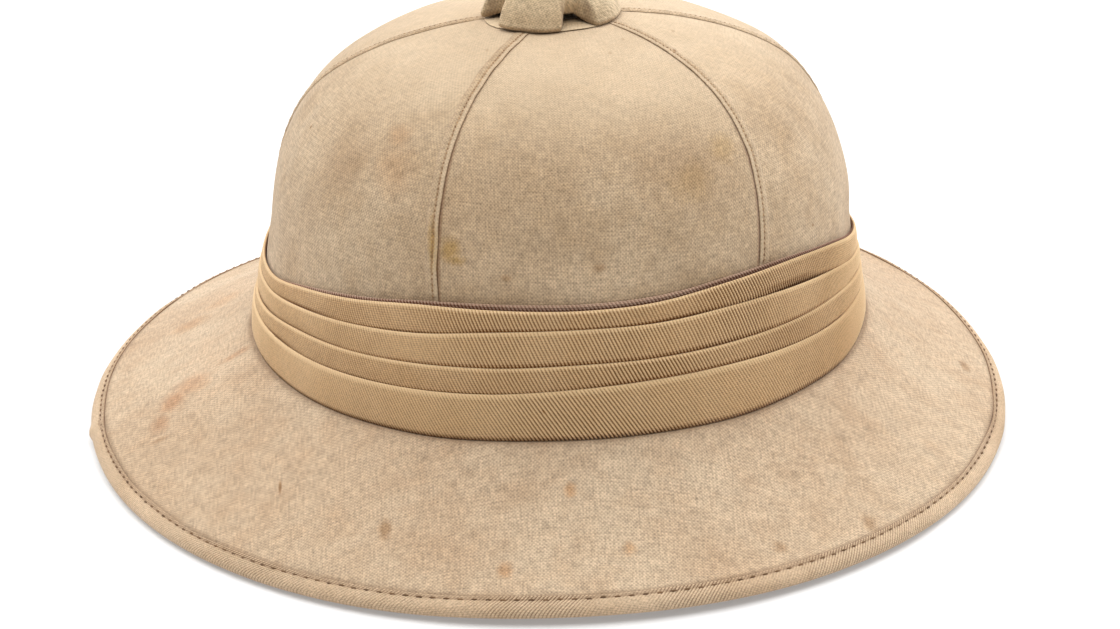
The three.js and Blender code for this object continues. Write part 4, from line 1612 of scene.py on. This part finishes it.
@dataclass
class Vent:
    """The vent on top: a cloth base, a lobed cloth cap and the post between cap and crown."""

    shape: HatShape
    finish: ClothFinish
    post_finish: PaintedMetalFinish
    base_outer: float = 20.7
    base_inner: float = 9.0
    base_thickness: float = 0.16
    base_columns: int = 160
    base_waves: Waves = Waves(seed=81, depth=0.25, fewest=2, most=9, tilt=0.0)
    radius: float = 21.4
    height: float = 15.0
    wall: float = 1.6
    power: float = 1.8
    valley_first: float = 22.5
    valley_count: int = 4
    valley_half_width: float = 18.0
    valley_edge: float = 11.0
    recess: float = 0.42
    lift: float = 2.8
    reach: float = 0.75
    left_raise: float = 0.8
    columns: int = 288
    rows: int = 40
    inner_ratio: int = 4
    row_power: float = 1.15
    crease_depth: float = 0.22
    foot_roll: float = 0.35
    rim_drop: float = 0.35
    cap_waves: Waves = Waves(seed=82, depth=0.18, fewest=3, most=12, tilt=0.3)

    def around_axis(self, angle: Array, radius: Array, z: Array = 0.0) -> Array:
        """Point at an angle and radius round the vent's axis, in the crown frame.

        Args:
            angle: Angles in degrees.
            radius: Distances from the axis.
            z: Heights.

        Returns:
            Points, with a last axis of three.
        """
        x = self.shape.vent_centre[0] + radius * np.sin(np.radians(angle))
        y = self.shape.vent_centre[1] - radius * np.cos(np.radians(angle))
        return np.stack(np.broadcast_arrays(x, y, z), -1)

    def crown_under(self, angle: Array, radius: Array) -> Array:
        """Height of the crown under a point beside the vent's axis."""
        return self.shape.crown_top(self.around_axis(angle, radius))

    def build_base(self) -> bpy.types.Object:
        """Builds the base: a flat ring with a rounded edge that follows the crown.

        Returns:
            The new object.
        """
        inner, outer, thick = self.base_inner, self.base_outer, self.base_thickness
        # Last column: painted shade towards the hole under the cap and under the edge, paler along the top
        # near the edge.
        radius, above, shade_and_dirt = (v[:, None] for v in np.array([
            (inner, 0.0, 0.0), (inner + 5.0, 0.0, 0.0), (outer - 2.0, 0.0, 0.0), (outer - 0.15, 0.02, 0.15),
            (outer, 0.3 * thick, 0.05), (outer - 0.12, 0.75 * thick, -0.2), (outer - 0.5, thick, -0.4),
            (outer - 2.5, thick, -0.4), (inner + 8.0, thick, -0.1), (inner + 3.0, thick, 0.1),
            (inner, thick, 0.3)]).T)
        angle = np.linspace(0.0, FULL_TURN, self.base_columns, endpoint=False)[None, :]
        radius = radius + self.base_waves.at(angle)
        points = self.around_axis(angle, radius, self.crown_under(angle, radius) + self.shape.gap + above)
        piece = PieceMesh()
        piece.add_grid(Grid(self.shape.to_part(points), points[..., :2], shade_and_dirt),
                       round_columns=True, round_rows=True)
        return piece.make("vent_disc")

    def valley(self, angle: Array) -> Array:
        """How deep in a valley an angle lies: 0 on a lobe, 1 along the valley.

        Args:
            angle: Angles in degrees.

        Returns:
            Shares between 0 and 1.
        """
        pitch = FULL_TURN / self.valley_count
        turn = (angle - self.valley_first + 1.5 * pitch) % pitch - pitch / 2.0
        return smooth(self.valley_half_width - np.abs(turn), 0.0, self.valley_edge)

    def pressed_in(self, angle: Array, share: Array) -> Array:
        """How much a valley presses the cap in: less with height, and nothing above its reach."""
        height = np.sin(share * np.pi / 2.0)
        return self.valley(angle) * np.maximum(0.0, 1.0 - height / self.reach)

    def shell(self, angle: Array, share: Array, inset: float) -> Array:
        """Point of the cap's shell.

        The cap's radius is cos(turn) and its height sin(turn)^(2/power), for a turn up to a right
        angle; in a valley the radius shrinks and the foot lifts, both fading with height.

        Args:
            angle: Angles round the vent.
            share: Share of the way from the foot to the top.
            inset: Distance inwards.

        Returns:
            Points in the crown frame.
        """
        turn = share * np.pi / 2.0
        height = np.sin(turn) ** (2.0 / self.power)
        depth = self.valley(angle) * np.maximum(0.0, 1.0 - height / self.reach)
        crease = self.crease_depth * bump(self.valley(angle), 0.45, 0.22) * smooth(1.0 - height, 0.2, 0.7)
        waves = self.cap_waves.at(angle, height * self.height)
        foot_roll = self.foot_roll * bump(share, 0.05, 0.035) * (inset == 0.0)
        radius = (self.radius - inset) * (1.0 - self.recess * depth) + waves - crease
        radius = radius * np.cos(turn) + foot_roll
        above = self.base_thickness + 2.0 * self.shape.gap
        seat, front = (self.crown_under(a, self.radius) + above for a in (angle, 0.0))
        raised = self.left_raise * smooth(-np.sin(np.radians(angle)), 0.3, 1.0)
        z = height * (self.height - inset) + self.lift * depth + raised
        return self.around_axis(angle, radius, seat + (front - seat) * height + z)

    def build_cap(self) -> bpy.types.Object:
        """Builds the cap: outer and inner shells joined round the foot and closed at the top.

        Returns:
            The new object.
        """
        angle = np.linspace(0.0, FULL_TURN, self.columns, endpoint=False)[None, :]
        share = (np.arange(self.rows) / self.rows)[:, None] ** self.row_power
        outer = self.shell(angle, share, 0.0)
        inner = self.shell(angle, share[::self.inner_ratio], self.wall)
        rim = 0.5 * (outer[:1] + inner[:1])
        rim[..., 2] -= self.rim_drop
        points = np.concatenate([inner[::-1], rim, outer])
        # Painted shade inside the cap, along its foot and along the valleys' edges; the valleys themselves
        # paler.
        edge = 0.55 * bump(self.valley(angle), 0.40, 0.30) * smooth(1.0 - share, 0.35, 0.8)
        outer_shade = 0.25 * bump(share, 0.0, 0.05) + edge - 0.3 * self.pressed_in(angle, share)
        shade_and_dirt = np.concatenate([np.full(inner.shape[:2], 0.8), np.full((1, self.columns), 0.5), outer_shade])
        cloth = points[..., :2] + points[..., 2:] * np.array([0.4, 0.9])
        piece = PieceMesh()
        piece.add_grid(Grid(self.shape.to_part(points), cloth, shade_and_dirt), round_columns=True)
        top, inner_top = (self.shape.to_part(self.shell(0.0, 1.0, inset)) for inset in (0.0, self.wall))
        ring = np.arange(self.columns)
        # The inside's top is painted dark as shade, like the rest of the inside.
        piece.add_cap(ring, inner_top, 0.8, flip=True)
        piece.add_cap((len(points) - 1) * self.columns + ring, top)
        return piece.make("vent_cover")

    def build(self) -> None:
        """Builds and dresses the base and cap, and paints the post that the cap hides."""
        material = self.finish.make()
        dress(self.build_base(), material, "vent_cloth", "vent_base")
        dress(self.build_cap(), material, "vent_cloth", "vent_cap")
        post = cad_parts["vent_post"]
        post.data.materials.clear()
        post.data.materials.append(self.post_finish.make())
        LOG.info("vent_post: solid kept, painted")


def towards(turn: float, height: float) -> Vector:
    """Direction at a turn round from the front and a height above the floor, both in degrees."""
    turn, height = math.radians(turn), math.radians(height)
    return Vector((math.sin(turn) * math.cos(height), -math.cos(turn) * math.cos(height), math.sin(height)))


@dataclass(frozen=True)
class Studio:
    """A pale floor, soft white light and the camera at the photograph's angle.

    A sun has a name, a turn from the front, a height, a width in degrees and a strength.
    """

    floor_half: float = 3.0
    floor_below: float = 0.0004
    floor_albedo: float = 0.64
    floor_glow: float = 0.26
    world: float = 0.12
    suns: tuple[tuple[str, float, float, float, float], ...] = (
        ("top", 0.0, 90.0, 70.0, 2.95), ("left", 292.0, 50.0, 70.0, 0.5), ("right", 92.0, 14.0, 40.0, 0.8),
        ("back_right", 135.0, 20.0, 50.0, 2.2), ("back_left", 225.0, 20.0, 50.0, 1.9))
    location: tuple[float, float, float] = (-37.2, -1040.8, 427.9)
    azimuth: float = -2.30
    elevation: float = 21.07
    roll: float = -1.38
    lens: float = 111.82
    sensor: float = 36.0
    clip_start: float = 0.05

    def build_floor(self) -> None:
        """Lays the floor just under the rim."""
        half, level = self.floor_half, -self.floor_below
        mesh = bpy.data.meshes.new("floor")
        corners = [(x * half, y * half, level) for x, y in ((-1, -1), (1, -1), (1, 1), (-1, 1))]
        mesh.from_pydata(corners, [], [(0, 1, 2, 3)])
        floor = bpy.data.objects.new("floor", mesh)
        bpy.context.scene.collection.objects.link(floor)
        mesh.materials.append(Recipe("studio_paper").finish({
            "Base Color": (self.floor_albedo,) * 3 + (1.0,), "Roughness": 1.0, "Specular IOR Level": 0.0,
            "Emission Color": (1.0, 1.0, 1.0, 1.0), "Emission Strength": self.floor_glow}))

    def build_light(self) -> None:
        """Fills the scene with weak white light and adds the soft suns."""
        world = bpy.data.worlds.new("studio_light")
        bpy.context.scene.world = world
        world.use_nodes = True
        world.node_tree.nodes["Background"].inputs[0].default_value = (1.0, 1.0, 1.0, 1.0)
        world.node_tree.nodes["Background"].inputs[1].default_value = self.world
        for name, turn, height, wide, strength in self.suns:
            sun = bpy.data.lights.new(name, "SUN")
            sun.energy, sun.angle = strength, math.radians(wide)
            lamp = bpy.data.objects.new(name, sun)
            lamp.rotation_euler = towards(turn, height).to_track_quat("Z", "Y").to_euler()
            bpy.context.scene.collection.objects.link(lamp)

    def build_camera(self) -> None:
        """Places the camera by its own axes: right and up turned by the roll, back away from the hat."""
        azimuth, roll = math.radians(self.azimuth), math.radians(self.roll)
        back = towards(self.azimuth, self.elevation)
        level = Vector((math.cos(azimuth), math.sin(azimuth), 0.0))
        right = math.cos(roll) * level + math.sin(roll) * back.cross(level)
        lens = bpy.data.cameras.new("camera")
        lens.lens, lens.sensor_width, lens.clip_start = self.lens, self.sensor, self.clip_start
        camera = bpy.data.objects.new("camera", lens)
        turned = Matrix((right, back.cross(right), back)).transposed().to_4x4()
        camera.matrix_world = Matrix.Translation(Vector(self.location) * MM) @ turned
        bpy.context.scene.collection.objects.link(camera)
        bpy.context.scene.camera = camera

    def build(self) -> None:
        """Builds floor, light and camera."""
        self.build_floor()
        self.build_light()
        self.build_camera()
        bpy.context.scene.view_settings.view_transform = "Standard"


# Half height of the brim's marks, so that they reach through the sloping cloth
DEEP = 10.0
CROWN_MARKS = (
    *marks(Tint.RUST,
          (-45.7, -73.5, 102.2, 8.0, 14.0, 10.0, 0.3), (-43.9, -63.8, 109.8, 5.0, 8.0, 5.0, 0.35)),
    *marks(Tint.EARTH,
          (-60.6, -57.5, 99.0, 12.0, 12.0, 10.0, 0.2), (34.0, -86.0, 104.0, 26.0, 18.0, 15.0, 0.16),
          (12.0, -108.8, 82.3, 2.6, 5.0, 1.5, 0.5), (-14.9, -106.1, 79.3, 2.0, 5.0, 1.2, 0.5),
          (-71.1, -27.6, 101.6, 0.8, 0.8, 0.8, 1.0, 0.1), (40.5, -19.1, 125.4, 0.8, 1.6, 0.8, 1.0, 0.1),
          (39.7, -36.5, 124.6, 0.8, 1.6, 0.8, 1.0, 0.1), (78.6, -62.5, 76.3, 0.7, 0.7, 0.7, 1.0, 0.1),
          (24.4, -31.0, 127.0, 0.7, 1.4, 0.7, 0.9, 0.1), (19.8, -41.8, 126.0, 0.7, 1.4, 0.7, 0.9, 0.1),
          (-16.8, -33.9, 125.9, 0.7, 1.4, 0.7, 0.9, 0.1)),
    *marks(Tint.OLIVE,
          (-30.6, -97.0, 85.2, 4.2, 9.0, 4.4, 1.0), (-29.0, -97.0, 82.6, 4.0, 8.0, 2.0, 1.0),
          (-35.4, -94.0, 86.0, 1.9, 8.0, 10.0, 1.0), (39.6, -89.7, 100.7, 9.0, 13.0, 7.0, 0.42),
          (50.2, -75.8, 106.4, 6.0, 9.0, 5.0, 0.5)),
    # Painted highlights: patches made paler where the cloth looks more brightly lit.
    *marks(Tint.PALE,
          (5.0, -110.0, 79.0, 34.0, 12.0, 9.0, 0.8), (-25.0, -104.0, 82.0, 18.0, 12.0, 10.0, 0.7),
          (56.0, -38.0, 114.0, 20.0, 22.0, 14.0, 0.8), (70.0, -60.0, 92.0, 18.0, 18.0, 16.0, 0.5),
          (-20.3, -70.7, 115.7, 8.0, 12.0, 9.0, 0.8), (23.0, -60.5, 121.6, 17.0, 12.0, 8.0, 0.8),
          (-3.5, -88.0, 104.0, 0.6, 22.0, 15.0, 1.0, 0.2), (-24.0, -95.2, 95.0, 9.0, 12.0, 10.0, 0.4),
          (-75.8, -52.6, 66.0, 9.0, 14.0, 10.0, 0.5)))
BRIM_MARKS = (
    *marks(Tint.RUST,
          (-116.0, 30.5, 16.2, 8.0, 9.0, DEEP, 0.35), (-104.8, 43.3, 19.6, 9.0, 9.0, DEEP, 0.35),
          (0.9, -133.9, 24.5, 2.4, 3.0, DEEP, 0.6), (16.6, -152.0, 14.0, 2.5, 3.0, DEEP, 0.5),
          (-18.8, -156.7, 10.9, 3.0, 4.0, DEEP, 0.5)),
    *marks(Tint.EARTH,
          (-121.2, -54.4, 11.4, 4.0, 2.0, DEEP, 0.5), (-52.3, -135.0, 14.8, 2.6, 5.0, DEEP, 0.65),
          (132.3, -20.6, 12.0, 2.2, 5.0, DEEP, 0.65), (87.7, -128.5, 7.2, 3.0, 4.5, DEEP, 0.5),
          (59.8, -145.2, 8.9, 2.5, 3.0, DEEP, 0.5), (-82.9, -103.8, 15.5, 0.7, 4.0, DEEP, 0.9, 0.1)),
    *marks(Tint.ROSE,
          (-112.9, -28.4, 18.7, 9.0, 9.0, DEEP, 0.6), (-118.3, -34.4, 15.7, 6.0, 9.0, DEEP, 0.8),
          (-121.6, -45.2, 12.6, 4.0, 7.0, DEEP, 0.6), (-98.6, -24.0, 26.5, 7.0, 3.0, DEEP, 0.6)),
    # Painted highlights: patches made paler where the cloth looks more brightly lit.
    *marks(Tint.PALE,
          (-105.0, -22.0, 22.0, 20.0, 42.0, DEEP, 0.7), (-100.0, 50.0, 20.0, 22.0, 22.0, DEEP, 0.5)))
BAND_MARKS = (
    *marks(Tint.EARTH,
          (-14.8, -116.7, 34.3, 0.9, 2.0, 0.9, 0.9, 0.1), (-5.7, -118.2, 42.4, 0.9, 2.0, 0.9, 0.9, 0.1)),
    *marks(Tint.PALE,
          (102.0, -18.0, 40.0, 14.0, 34.0, 13.0, 0.9), (90.0, -56.0, 38.0, 18.0, 24.0, 11.0, 0.6)))
CROWN_CLOTH = ClothFinish(
    name="crown_drill", colour=srgb(173, 148, 118), faded=srgb(185, 162, 133), soiled=srgb(158, 130, 96),
    shade_and_grime=srgb(122, 74, 28), marks=CROWN_MARKS)
BRIM_CLOTH = ClothFinish(
    name="brim_drill", colour=srgb(180, 155, 127), faded=srgb(189, 167, 140), soiled=srgb(169, 137, 105),
    soil_amount=0.35, marks=BRIM_MARKS)
BINDING_CLOTH = ClothFinish(
    name="binding_twill", colour=srgb(197, 169, 138), faded=srgb(203, 177, 147), soiled=srgb(178, 146, 110),
    weave=Weave.CORDED, thread=0.3, weave_depth=0.04, streak=0.03, soil_amount=0.3, grain=0.14)
PUGGAREE_CLOTH = ClothFinish(
    name="puggaree_twill", colour=srgb(188, 152, 110), faded=srgb(196, 162, 122), soiled=srgb(172, 134, 90),
    worn=srgb(226, 194, 150), shade_and_grime=srgb(112, 70, 34), weave=Weave.CORDED, thread=0.3, weave_depth=0.04,
    fading_size=30.0, streak=0.03, soil_amount=0.3, grain=0.13, marks=BAND_MARKS)
RIBBON_CLOTH = ClothFinish(
    name="mauve_ribbon", colour=srgb(180, 146, 124), faded=srgb(190, 158, 136), soiled=srgb(156, 118, 92),
    shade_and_grime=srgb(108, 66, 44), weave=Weave.CORDED, thread=0.3, weave_depth=0.04, streak=0.03)
VENT_CLOTH = ClothFinish(
    name="vent_drill", colour=srgb(196, 172, 138), faded=srgb(204, 184, 152), soiled=srgb(172, 146, 110))
SEAM_THREAD = ThreadFinish(name="seam_thread", colour=srgb(110, 78, 46), worn=srgb(176, 142, 100))
RIM_THREAD = ThreadFinish(name="rim_thread", colour=srgb(96, 70, 46), worn=srgb(132, 100, 68))
POST_PAINT = PaintedMetalFinish(name="post_paint", colour=srgb(186, 172, 142), worn=srgb(120, 100, 76))


def main() -> None:
    """Builds the hat's parts in order, then the studio."""
    logging.basicConfig(level=logging.INFO, format="%(name)s %(message)s")
    shape = HatShape()
    for part in (
            Crown(shape, CROWN_CLOTH),
            SeamLaps(shape, CROWN_CLOTH, SEAM_THREAD),
            Puggaree(shape, PUGGAREE_CLOTH, RIBBON_CLOTH),
            Brim(shape, BRIM_CLOTH),
            Binding(shape, BINDING_CLOTH, RIM_THREAD),
            Vent(shape, VENT_CLOTH, POST_PAINT)):
        part.build()
        LOG.info("%s built", type(part).__name__)
    Studio().build()


if __name__ == "__main__":
    main()
